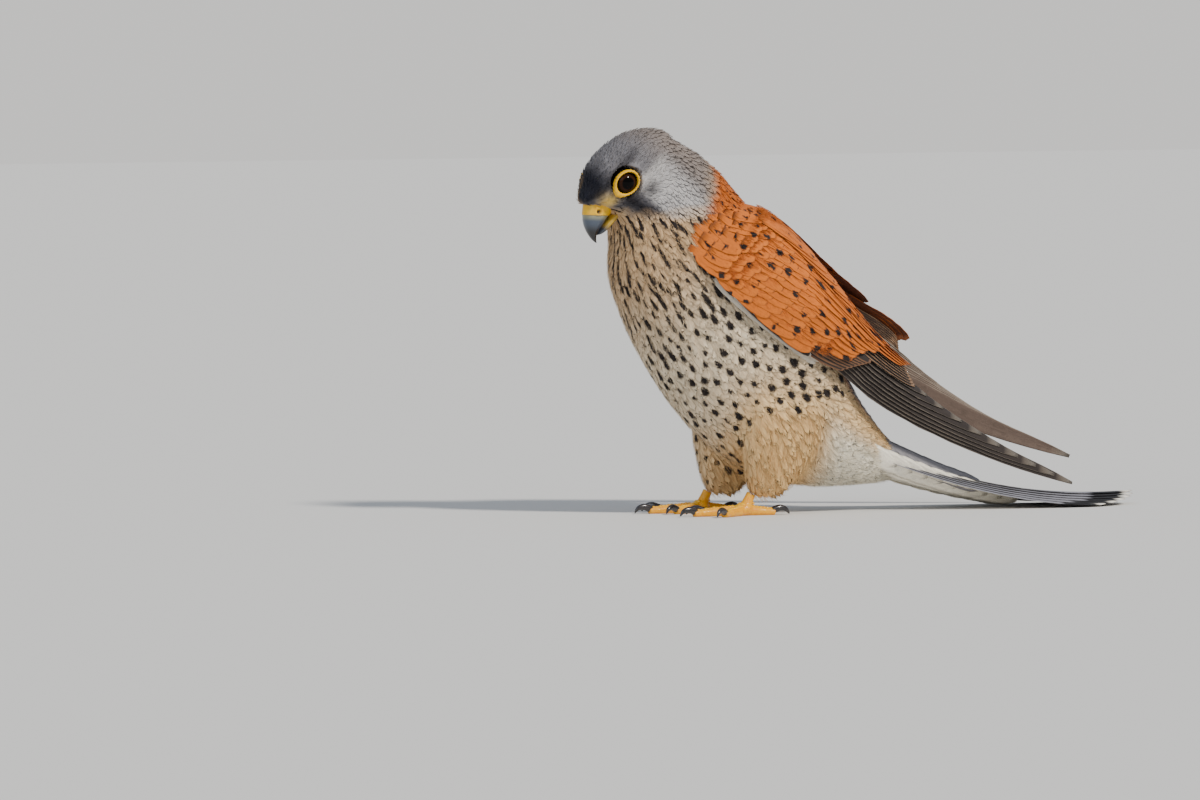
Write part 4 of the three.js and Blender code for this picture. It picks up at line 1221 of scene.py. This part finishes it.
class KESTREL_OT_head_coat(bpy.types.Operator):
    """Small feathers of the head and nape"""

    bl_idname = "kestrel.head_coat"
    bl_label = "Head feathers"

    def execute(self, context):
        s = settings()
        material = feather_material("Head feather")

        def near(p):
            return 1 + 0.5 * smooth(-8, -40, to_head(p)[:, 0])

        def wanted(p):
            h = to_head(p)
            left, right = (np.linalg.norm(h - (EYE_AT[0] + 1.2, side * 15.5, EYE_AT[2]), axis=1)
                           for side in (1, -1))
            bare = (np.minimum(left, right) < 6.3) | ((h[:, 0] > 9.5) & (h[:, 2] < -1.0) & (h[:, 2] > -11))
            return (plumage(p)[4] >= 0.5) & ~bare

        roots, normals = Skin.scatter(lambda p: s.head_spacing * 1000 * near(p), wanted, s.seed + 31)
        scale = near(roots)
        length = 4.0 * scale ** 1.2
        finish_piece(skin_feathers("coat_head", roots, normals, length, length * 0.38, 0.75 * scale ** 0.5,
                                   None, material, s.seed + 32, 0.15), "head_plumage")
        roots, normals = Skin.scatter(lambda p: np.full(len(p), 1.25), wanted, s.seed + 33)
        soft = 2.6 + 3.6 * smooth(4, -24, to_head(roots)[:, 0])
        finish_piece(skin_strands("down_head", roots, normals, soft, 0.15, 0.8, None, material,
                                  s.seed + 34, 0.15, 0.3), "head_plumage")
        return {"FINISHED"}


class KESTREL_OT_wings(bpy.types.Operator):
    """Both folded wings, tier by tier"""

    bl_idname = "kestrel.wings"
    bl_label = "Wings"

    def execute(self, context):
        for name, edges, far in (("left", NEAR_WING, False), ("right", FAR_WING, True)):
            face, material = WingFace(edges), feather_material("Wing feather")

            def place(u, v, face=face):
                _, across, out = face.frame(u, v)
                return face.point(u, v), across, out

            core = np.vstack(wing_core(face))
            shade = np.tile(np.array(settings().chestnut) * 0.5, (len(core), 1))
            base = new_object(f"wing_{name}_core", core, ring_faces(15, 30), material, shade,
                              np.full(len(core), -1.0), np.zeros(len(core)))
            facing_out(base)
            for label in ("vane", "OFBake"):
                base.data.uv_layers.new(name=label)
            finish_piece(base, "wing_plumage", f"wing_{name}")
            for k, (tier, feathers) in enumerate(wing_feathers(far).items()):
                long = tier in ("primaries", "secondaries", "tertials")
                finish_piece(laid_feathers(f"wing_{name}_{tier}", place, feathers, material,
                                           22 if long else 9, 8, k, 1.0 if long else 1.6), "wing_plumage")
            finish_piece(wing_barbs(f"wing_{name}_barbs", face, 7000, feather_material("Body feather"), 61),
                         "wing_plumage")
        return {"FINISHED"}


class KESTREL_OT_tail(bpy.types.Operator):
    """Tail feathers and the coverts over and under their roots"""

    bl_idname = "kestrel.tail"
    bl_label = "Tail"

    def execute(self, context):
        material = feather_material("Tail feather", 0.6, 0.35)
        index = 0
        for pair in range(6):
            for side in (-1, 1):
                share = 1 - 0.024 * pair * (0.4 + 0.2 * pair)
                feather = {
                    "from": (0.0, 0.0), "to": (share, 0.0), "width": 18, "number": pair * 2 + side,
                    "pair": pair, "side": side, "length": TAIL_LENGTH * share, "lift": (0, 0), "tilt": 0.0,
                    "camber": 0.3, "thick": 0.3, "paint": paint_tail, "under": paint_tail_under,
                    "point": 0.12,
                }
                name = f"tail_{'left' if side < 0 else 'right'}_{pair + 1}"
                obj = laid_feathers(name, partial(tail_place, feather), [feather], material, 40)
                lift_to_floor(obj)
                finish_piece(obj, "tail_plumage", *(["tail"] if index == 0 else []))
                index += 1
        for above in (True, False):
            obj = laid_feathers("tail_coverts_" + ("upper" if above else "under"),
                                partial(covert_place, above), tail_coverts(above), material, 7, 4)
            lift_to_floor(obj)
            finish_piece(obj, "tail_plumage")
        return {"FINISHED"}


def tail_line(t):
    """Places and directions along the tail's middle."""
    root, bend, tip = (np.array((x, 0.0, z)) for x, z in TAIL_CURVE)
    t = np.asarray(t, float)[:, None]
    at = (1 - t) ** 2 * root + 2 * t * (1 - t) * bend + t**2 * tip
    return at, unit(2 * (1 - t) * (bend - root) + 2 * t * (tip - bend))


def paint_tail(a, b, feather):
    """Slate, with a black band and a white tip; the outer ones are barred on the inner vane."""
    slate = np.array(settings().slate) * (0.95, 0.98, 1.04)
    colour = np.tile(vary(slate, feather["number"], 0.04), (len(a), 1))
    tip_at = feather["length"] * (1 - b)
    colour = blend(colour, srgb(26, 24, 26), smooth(26, 24.5, tip_at))
    colour = blend(colour, srgb(236, 230, 218), smooth(7.5, 6.3, tip_at + 1.2 * np.abs(a)))
    if feather["pair"] == 0:
        return colour, np.full(len(a), -1.0)
    barred = (a * feather["side"] < 0.2) & (tip_at > 34) & (tip_at < 100)
    return colour, np.where(barred, np.sin(tip_at / 11 * 2 * math.pi) * 0.6 - 0.75, -1.0)


def paint_tail_under(a, b, feather):
    colour = np.tile(srgb(206, 200, 190), (len(a), 1))
    tip_at = feather["length"] * (1 - b)
    colour = blend(colour, srgb(30, 27, 28), smooth(26, 24.5, tip_at))
    return blend(colour, srgb(236, 230, 218), smooth(7.5, 6.3, tip_at)), np.full(len(a), -1.0)


def tail_place(feather, u, v):
    """Places for one tail feather, fanned out and stacked below its inner neighbours."""
    pair, side = feather["pair"], feather["side"]
    slope = math.atan(0.22 * pair / 6)
    at, along = tail_line(u)
    up = np.column_stack((-along[:, 2], np.zeros(len(u)), along[:, 0]))
    fan = math.tan(side * math.radians(1.25 * (pair + 0.25)))
    shift = (at[:, 0] - TAIL_CURVE[0][0]) * fan + side * 1.2 * pair
    across = np.array((0.0, math.cos(slope), 0.0)) - up * side * math.sin(slope)
    out = up * math.cos(slope) + np.array((0.0, side * math.sin(slope), 0.0))
    share = u / max(u.max(), 1e-6)
    rank = pair + (0.5 if side > 0 else 0)
    lift = 0.95 * (0.75 + 0.25 * share) * (6 - rank) * 0.92 + 0.15
    return at + np.outer(shift, (0, 1, 0)) + out * lift[:, None], across, out


def tail_coverts(above):
    """Rows of soft feathers over or under the tail's root."""
    paint = paint_plain(np.array(settings().slate) if above else srgb(238, 231, 214))
    number = 0 if above else 72
    feathers = []
    for k, t in enumerate(np.linspace(-0.02, 0.3 if above else 0.42, 9)):
        fade = 1 - 0.5 * k / 9
        for side in np.linspace(-1, 1, 8):
            number += 1
            feathers.append({
                "from": (t, side), "to": (t + 0.17, side * 0.9), "width": 11 * (0.7 + 0.3 * fade),
                "number": number, "lift": (0, 0.8), "tilt": 0.0, "camber": 0.5, "thick": 0.25,
                "point": 0.15, "paint": paint,
            })
    return feathers


def covert_place(above, u, v):
    """Places round the tail's root; v is the turn to the side."""
    at, along = tail_line(np.clip(u, 0, 1))
    at = at + along * np.minimum(u, 0)[:, None] * 150
    flat, side = np.zeros((len(u), 3)), np.zeros((len(u), 3))
    up = np.column_stack((-along[:, 2], np.zeros(len(u)), along[:, 0]))
    fade = np.clip(1 - 0.75 * (np.maximum(u, 0) / 0.55) ** 1.3, 0.25, 1)
    turn, sign = v * 1.25, 1 if above else -1
    flat[:, 1], side[:, 1] = np.cos(turn), np.sin(turn)
    across = flat - up * (sign * np.sin(turn))[:, None]
    out = up * (sign * np.cos(turn))[:, None] + side
    high = (6 if above else 8) * fade
    middle = at + up * (3 * fade)[:, None] + out * high[:, None] + side * 8 * fade[:, None]
    return middle, across, out


def lift_to_floor(obj):
    """Presses onto the floor any point that would go below it."""
    co = arrays(obj.data)[0]
    co[:, 2] = np.maximum(co[:, 2], FLOOR_GAP)
    obj.data.vertices.foreach_set("co", co.astype(np.float32).ravel())
    obj.data.update()


class KESTREL_OT_eyes(bpy.types.Operator):
    """Eyeballs and the bare rings round them"""

    bl_idname = "kestrel.eyes"
    bl_label = "Eyes"

    def execute(self, context):
        eye = glossy_material("Eye", 0.12, 0.1, 0.02)
        eye.node_tree.nodes["Principled BSDF"].inputs["Specular IOR Level"].default_value = 0.04
        yellow = np.array(settings().yellow)
        ring_skin = speckled_material("Eye ring skin", (yellow, yellow * (0.95, 0.84, 0.5)),
                                      2600, 0.5, 0.35, 0.08, True)
        for name, side in (("left", 1), ("right", -1)):
            centre = in_head((EYE_AT[0], side * EYE_AT[1], EYE_AT[2]))
            look = unit(np.array((math.sin(EYE_FORWARD), side * math.cos(EYE_FORWARD), 0.05)) @ HEAD_AXES)
            first = unit(np.cross(look, (0.0, 0.0, 1.0)))
            second = np.cross(look, first)
            self.ball(name, centre, look, first, second, eye)
            self.ring(name, centre, look, first, second, ring_skin)
        return {"FINISHED"}

    def ball(self, name, centre, look, first, second, material):
        """An eyeball with a slight bulge over its pupil."""
        turn = 2 * math.pi * np.arange(48) / 48
        spokes = first * np.cos(turn)[:, None] + second * np.sin(turn)[:, None]
        polar = np.linspace(0.001, math.pi * 0.62, 40)
        rings = []
        for angle in polar:
            radius = 6.2 + 0.35 * math.exp(-((angle / 0.5) ** 2))
            rings.append(centre + look * math.cos(angle) * radius + spokes * math.sin(angle) * radius)
        angle = np.repeat(polar, 48)
        colour = blend(srgb(4, 3, 3), srgb(46, 24, 12), smooth(0.44, 0.5, angle))
        colour = blend(colour, srgb(10, 7, 6), smooth(0.66, 0.74, angle))
        obj = new_object(f"eye_ball_{name}", np.vstack(rings), ring_faces(40, 48), material, colour)
        finish_piece(facing_out(obj), "eye", f"eye_{name}")

    def ring(self, name, centre, look, first, second, material):
        """A wrinkled ring, a little longer along the head, drawn out towards the bill."""
        profile = np.array([  # out from the eye's middle, then forward of it
            (5.05, 4.1), (5.1, 4.85), (5.35, 5.2), (5.6, 5.3), (5.85, 5.15), (6.05, 4.65),
            (6.2, 3.6), (6.0, 2.4), (5.6, 2.2), (5.2, 2.9), (5.05, 3.6),
        ])
        count, wide = 72, len(profile)
        rings = []
        for angle in 2 * math.pi * np.arange(count) / count:
            wrinkle = 1 + 0.02 * math.sin(angle * 23) + 0.015 * math.sin(angle * 41)
            spoke = first * math.cos(angle) + second * math.sin(angle)
            brow = 1 + 0.09 * (2 * float(spoke @ HEAD_AXES[0]) ** 2 - 1)
            corner = max(0.0, float(spoke @ unit(np.array((1.0, 0.0, -0.25)) @ HEAD_AXES))) ** 8
            widen = 1 + 0.28 * corner * smooth(5.2, 6.2, profile[:, :1])
            rings.append(centre + spoke * (profile[:, :1] * wrinkle * brow * widen)
                         + look * profile[:, 1:] * wrinkle)
        i, j = np.meshgrid(np.arange(count), np.arange(wide), indexing="ij")
        a, b = i.ravel(), j.ravel()
        after, beside = (a + 1) % count, (b + 1) % wide
        faces = np.column_stack((a * wide + b, a * wide + beside, after * wide + beside, after * wide + b))
        obj = new_object(f"eye_skin_{name}", np.vstack(rings), faces, material)
        finish_piece(facing_out(obj), "bare_skin", f"eye_ring_{name}")


def section_rings(sections, rings, sides):
    """Rings of a bill from sections given by their top, bottom and half width in the head's frame."""
    made = catmull(sections, np.linspace(0, 1, rings))
    turn = 2 * math.pi * np.arange(sides) / sides
    top, bottom, half = made[:, :2], made[:, 2:4], made[:, 4]
    middle, tall = (top + bottom) / 2, (top - bottom) / 2
    height = np.sign(np.cos(turn)) * np.abs(np.cos(turn)) ** 0.85
    shape = np.empty((rings, sides, 3))
    shape[..., 0] = middle[:, :1] + tall[:, :1] * height
    shape[..., 2] = middle[:, 1:] + tall[:, 1:] * height
    shape[..., 1] = half[:, None] * np.sin(turn)[None]
    return shape


class KESTREL_OT_bill(bpy.types.Operator):
    """Cere, upper and lower bill"""

    bl_idname = "kestrel.bill"
    bl_label = "Bill"

    def execute(self, context):
        at, facing = np.array(CERE_EDGE["at"]), np.array(CERE_EDGE["normal"])
        horn = glossy_material("Horn", 0.3, 0.5, 0.15)
        whole = section_rings(UPPER_BILL, 80, 48)
        self.cere(whole, at, facing)
        points = whole.reshape(-1, 3)
        deep = points @ facing - 14.2
        colour = blend(srgb(140, 140, 116), srgb(66, 76, 92), smooth(0.3, 3.0, deep))
        colour = blend(colour, srgb(12, 12, 15), smooth(3.5, 8.5, deep))
        upper = new_object("bill_horn_upper", in_head(points), ring_faces(80, 48), horn, colour)
        cut_piece(upper, at - facing * 0.5, facing)
        finish_piece(upper, "horn", "bill_upper")
        lower = section_rings(LOWER_BILL, 30, 36)
        share = np.repeat(np.linspace(0, 1, 30), 36)
        colour = blend(srgb(186, 150, 50), srgb(52, 56, 64), smooth(0.3, 0.6, share))
        obj = new_object("bill_horn_lower", in_head(lower.reshape(-1, 3)), ring_faces(30, 36), horn, colour)
        finish_piece(facing_out(obj), "horn", "bill_lower")
        return {"FINISHED"}

    def cere(self, whole, at, facing):
        """The bill's root, swollen a little, with a rim and a pit at each nostril."""
        yellow = np.array(settings().yellow)
        skin = speckled_material("Cere skin", (yellow, yellow * (0.95, 0.8, 0.4)),
                                 1800, 0.45, 0.3, 0.12, True)
        tree = skin.node_tree
        shade, mixed = attribute(tree, "tint"), tree.nodes.new("ShaderNodeMix")
        mixed.data_type, mixed.blend_type = "RGBA", "MULTIPLY"
        mixed.inputs["Factor"].default_value = 1.0
        target = tree.nodes["Principled BSDF"].inputs["Base Color"]
        links(tree, (target.links[0].from_socket, mixed.inputs["A"]),
              (shade.outputs["Color"], mixed.inputs["B"]), (mixed.outputs["Result"], target))
        middle = whole.mean(1, keepdims=True)
        swollen = middle + (whole - middle) * 1.05

        def gap(side):
            return np.linalg.norm(swollen - (NOSTRIL[0], side * NOSTRIL[1], NOSTRIL[2]), axis=2)

        for side in (1, -1):
            rim = np.exp(-(((gap(side) - 1.8) / 0.5) ** 2)) * 0.35
            pit = smooth(1.5, 0.7, gap(side)) * 1.2
            swollen[..., 1] += side * (rim - pit)
        inside = np.minimum(gap(1), gap(-1)).ravel()
        # The inside of each nostril pit is painted nearly black: painted shade in the pit.
        colour = blend((1.0, 1.0, 1.0), (0.02, 0.015, 0.01), smooth(1.35, 0.95, inside))
        obj = new_object("cere_skin", in_head(swollen.reshape(-1, 3)), ring_faces(80, 48), skin, colour)
        cut_piece(obj, at, -facing)
        finish_piece(obj, "bare_skin", "cere")


def cut_piece(obj, at, facing):
    """Keeps the part of a closed piece on the facing side of a plane given in the head's frame."""
    work = bmesh.new()
    work.from_mesh(obj.data)
    bmesh.ops.remove_doubles(work, verts=work.verts, dist=1e-7)
    made = bmesh.ops.bisect_plane(work, geom=work.verts[:] + work.edges[:] + work.faces[:],
                                  plane_co=(in_head(at) + SHIFT) * 0.001,
                                  plane_no=np.asarray(facing, float) @ HEAD_AXES, clear_inner=True)
    edges = [each for each in made["geom_cut"] if isinstance(each, bmesh.types.BMEdge)]
    bmesh.ops.holes_fill(work, edges=edges)
    bmesh.ops.recalc_face_normals(work, faces=work.faces)
    work.to_mesh(obj.data)
    work.free()


def scute_tree():
    """Geometry Nodes: plates set along a curve, each a squashed ball as wide as the curve's radius."""
    name = "Scutes along a toe"
    if name in bpy.data.node_groups:
        return bpy.data.node_groups[name]
    tree = bpy.data.node_groups.new(name, "GeometryNodeTree")
    side, node = tree.interface, tree.nodes.new
    side.new_socket("Geometry", in_out="INPUT", socket_type="NodeSocketGeometry")
    for label in ("Pitch", "Width"):
        side.new_socket(label, in_out="INPUT", socket_type="NodeSocketFloat")
    side.new_socket("Material", in_out="INPUT", socket_type="NodeSocketMaterial")
    side.new_socket("Geometry", in_out="OUTPUT", socket_type="NodeSocketGeometry")
    inputs, outputs = node("NodeGroupInput"), node("NodeGroupOutput")
    given = inputs.outputs
    points, plate = node("GeometryNodeCurveToPoints"), node("GeometryNodeMeshUVSphere")
    points.mode = "LENGTH"
    plate.inputs["Segments"].default_value, plate.inputs["Rings"].default_value = 10, 6
    plate.inputs["Radius"].default_value = 1.0
    place, radius = node("GeometryNodeInstanceOnPoints"), node("GeometryNodeInputRadius")
    size = node("ShaderNodeCombineXYZ")
    realize, paint = node("GeometryNodeRealizeInstances"), node("GeometryNodeSetMaterial")
    times = partial(maths, tree, "MULTIPLY")
    width = times(given["Width"], radius.outputs[0])
    links(tree, (given["Geometry"], points.inputs["Curve"]), (given["Pitch"], points.inputs["Length"]),
          (points.outputs["Points"], place.inputs["Points"]),
          (points.outputs["Rotation"], place.inputs["Rotation"]),
          (plate.outputs["Mesh"], place.inputs["Instance"]), (width, size.inputs["X"]),
          (times(width, 0.42), size.inputs["Y"]), (times(given["Pitch"], 0.56), size.inputs["Z"]),
          (size.outputs[0], place.inputs["Scale"]), (place.outputs[0], realize.inputs[0]),
          (realize.outputs[0], paint.inputs["Geometry"]), (given["Material"], paint.inputs["Material"]),
          (paint.outputs[0], outputs.inputs[0]))
    return tree


class KESTREL_OT_feet(bpy.types.Operator):
    """Feet, their scutes and the claws"""

    bl_idname = "kestrel.feet"
    bl_label = "Feet"

    def execute(self, context):
        yellow = np.array(settings().yellow)
        skin = speckled_material("Foot skin", (yellow * (0.95, 0.8, 0.8), yellow * (0.9, 0.6, 0.6)),
                                 1500, 0.45, 0.6, 0.2, True)
        plate = speckled_material("Foot scute", (yellow, yellow * (1.0, 0.78, 0.7)), 900, 0.35, 0.25, 0.35)
        horn = speckled_material("Claw horn", (srgb(24, 22, 24), srgb(46, 42, 44)), 700, 0.28, 0.15, 0.5)
        for name, foot in FEET.items():
            obj = remeshed(f"foot_{name}", [f"leg_{name}"], 0.42, 5)
            obj.data.materials.clear()
            obj.data.materials.append(skin)
            give(obj.data)
            lift_to_floor(obj)
            finish_piece(obj, "bare_skin", f"leg_{name}")
            faces = [list(face.vertices) for face in obj.data.polygons]
            shape = BVHTree.FromPolygons(points_of(obj)[0].tolist(), faces)
            for toe, (turn, length) in TOES.items():
                angle = math.radians(turn)
                along = np.array((-math.cos(angle), foot["side"] * math.sin(angle), 0.0))
                start = np.array((*foot["ball"], 0.0))
                self.scutes(f"scutes_{name}_{toe}", shape, start, along, length, plate)
                self.claw(f"claw_horn_{name}_{toe}", start + along * (length - 0.6), along, horn,
                          f"claw_{name}_{toe}")
        return {"FINISHED"}

    def claw(self, name, base, along, material, node):
        """A hooked, tapering tube that lies along the toe's end."""
        reach = CLAW_LENGTH
        keys = [(-0.6, 2.2), (reach * 0.33, 3.3), (reach * 0.66, 2.7), (reach * 0.86, 0.6)]
        curve = catmull(keys, np.linspace(0, 1, 26))
        path = base + along * curve[:, :1] + np.outer(curve[:, 1], (0, 0, 1))
        radii = catmull([(1.5, 0), (1.45, 0), (1.2, 0), (0.85, 0), (0.3, 0)], np.linspace(0, 1, 26))
        rings = tube_rings(path, radii[:, 0], 18, 1.1)
        obj = facing_out(new_object(name, rings.reshape(-1, 3), ring_faces(26, 18), material))
        lift_to_floor(obj)
        finish_piece(obj, "horn", node)

    def scutes(self, name, shape, start, along, length, material):
        """Plates along a toe's top, found on the foot's own shape from above."""
        t = np.linspace(0.12, 0.97, 24)
        height = (TOE_RADIUS * (1.16 - 0.42 * t)) * 0.95 - 0.35 + TOE_RADIUS * (1 - 0.38 * t)
        path = start + along * (t * length)[:, None] + np.outer(height, (0, 0, 1))
        for at in path:
            hit = shape.ray_cast((at[0], at[1], at[2] + 3), (0, 0, -1), 6)[0]
            if hit:
                at[2] = hit[2] - 0.12
        curve = bpy.data.curves.new(name, "CURVE")
        curve.dimensions, curve.twist_mode = "3D", "Z_UP"
        line = curve.splines.new("POLY")
        line.points.add(len(path) - 1)
        for point, at, width in zip(line.points, (path + SHIFT) * 0.001, 1 - 0.35 * t):
            point.co = (*at, 1)
            point.radius = float(width)
        obj = linked(name, curve)
        nodes = obj.modifiers.new("scutes", "NODES")
        nodes.node_group = scute_tree()
        given = {"Material": material, "Pitch": 0.0016, "Width": 0.0016}
        for item in nodes.node_group.interface.items_tree:
            if item.item_type == "SOCKET" and item.in_out == "INPUT" and item.name in given:
                nodes[item.identifier] = given[item.name]
        mesh = evaluated(obj)
        bpy.data.objects.remove(obj)
        give(mesh)
        finish_piece(linked(name, mesh), "bare_skin")


class KESTREL_OT_stage(bpy.types.Operator):
    """Floor, lights and camera"""

    bl_idname = "kestrel.stage"
    bl_label = "Stage"

    def execute(self, context):
        mesh = bpy.data.meshes.new("floor")
        mesh.from_pydata([(-6, -6, 0), (6, -6, 0), (6, 6, 0), (-6, 6, 0)], [], [(0, 1, 2, 3)])
        floor = linked("floor", mesh)
        pale, _, shader = new_material("Floor")
        shader["Base Color"].default_value = (0.72, 0.71, 0.69, 1)
        shader["Roughness"].default_value = 0.9
        mesh.materials.append(pale)
        self.world(context.scene)
        for name, place, power, angle, colour in (
            ("key", (0.29, -0.78, 0.8), 3.6, 7, (1.0, 0.95, 0.87)),
            ("fill", (-1.0, -0.5, 0.6), 0.7, 40, (0.9, 0.95, 1.0)),
        ):
            light = bpy.data.lights.new(name, "SUN")
            light.energy, light.angle, light.color = power, math.radians(angle), colour
            obj = linked(name, light)
            obj.location = place
            obj.rotation_euler = (-Vector(place)).to_track_quat("-Z", "Y").to_euler()
        self.camera(context.scene)
        return {"FINISHED"}

    def world(self, scene):
        """A cool sky for the light, and a plain pale backdrop for the camera."""
        scene.world = world = scene.world or bpy.data.worlds.new("World")
        world.use_nodes = True
        tree = world.node_tree
        sky, seen = tree.nodes["Background"], tree.nodes.new("ShaderNodeBackground")
        for back, colour, strength in (
            (sky, (0.72, 0.8, 0.92, 1), 0.5),
            (seen, (0.8, 0.79, 0.77, 1), 1.03),
        ):
            back.inputs["Color"].default_value = colour
            back.inputs["Strength"].default_value = strength
        mixed, path = tree.nodes.new("ShaderNodeMixShader"), tree.nodes.new("ShaderNodeLightPath")
        links(tree, (path.outputs["Is Camera Ray"], mixed.inputs[0]), (sky.outputs[0], mixed.inputs[1]),
              (seen.outputs[0], mixed.inputs[2]),
              (mixed.outputs[0], tree.nodes["World Output"].inputs["Surface"]))

    def camera(self, scene):
        turn, rise, away = math.radians(-27), math.radians(2.5), 6.0
        toward = Vector((math.sin(turn) * math.cos(rise), -math.cos(turn) * math.cos(rise), math.sin(rise)))
        right = Vector((math.cos(turn), math.sin(turn), 0))
        # In the photograph a point 75 mm above the middle between the feet is 140 right of the frame's
        # middle and 47.5 above it, at 2.15 pixels a millimetre.
        scale = 2.15
        anchor = Vector((np.array((0.0, 0.0, 75.0)) + SHIFT) * 0.001)
        target = anchor - right * (0.140 / scale) - toward.cross(right) * (0.0475 / scale)
        camera = linked("camera", bpy.data.cameras.new("camera"))
        camera.data.lens = 36 * away / (1.200 / scale)
        camera.data.clip_end = 50
        camera.location = target + toward * away
        camera.rotation_euler = (-toward).to_track_quat("-Z", "Y").to_euler()
        scene.camera = camera


class KESTREL_PT_panel(bpy.types.Panel):
    """The bird's pieces, in the sidebar"""

    bl_idname = "KESTREL_PT_panel"
    bl_label = "Kestrel"
    bl_space_type = "VIEW_3D"
    bl_region_type = "UI"
    bl_category = "Kestrel"

    def draw(self, context):
        for name in KestrelSettings.__annotations__:
            self.layout.prop(context.scene.kestrel, name)
        for operator in OPERATORS:
            self.layout.operator(operator.bl_idname)


OPERATORS = (KESTREL_OT_stage, KESTREL_OT_skin, KESTREL_OT_coat, KESTREL_OT_head_coat, KESTREL_OT_wings,
             KESTREL_OT_tail, KESTREL_OT_eyes, KESTREL_OT_bill, KESTREL_OT_feet)
CLASSES = (KestrelSettings, *OPERATORS, KESTREL_PT_panel)


def register():
    for each in CLASSES:
        bpy.utils.register_class(each)
    bpy.types.Scene.kestrel = PointerProperty(type=KestrelSettings)


def unregister():
    del bpy.types.Scene.kestrel
    for each in reversed(CLASSES):
        bpy.utils.unregister_class(each)


def main():
    register()
    for operator in OPERATORS:
        group, name = operator.bl_idname.split(".")
        getattr(getattr(bpy.ops, group), name)()


if __name__ == "__main__":
    main()
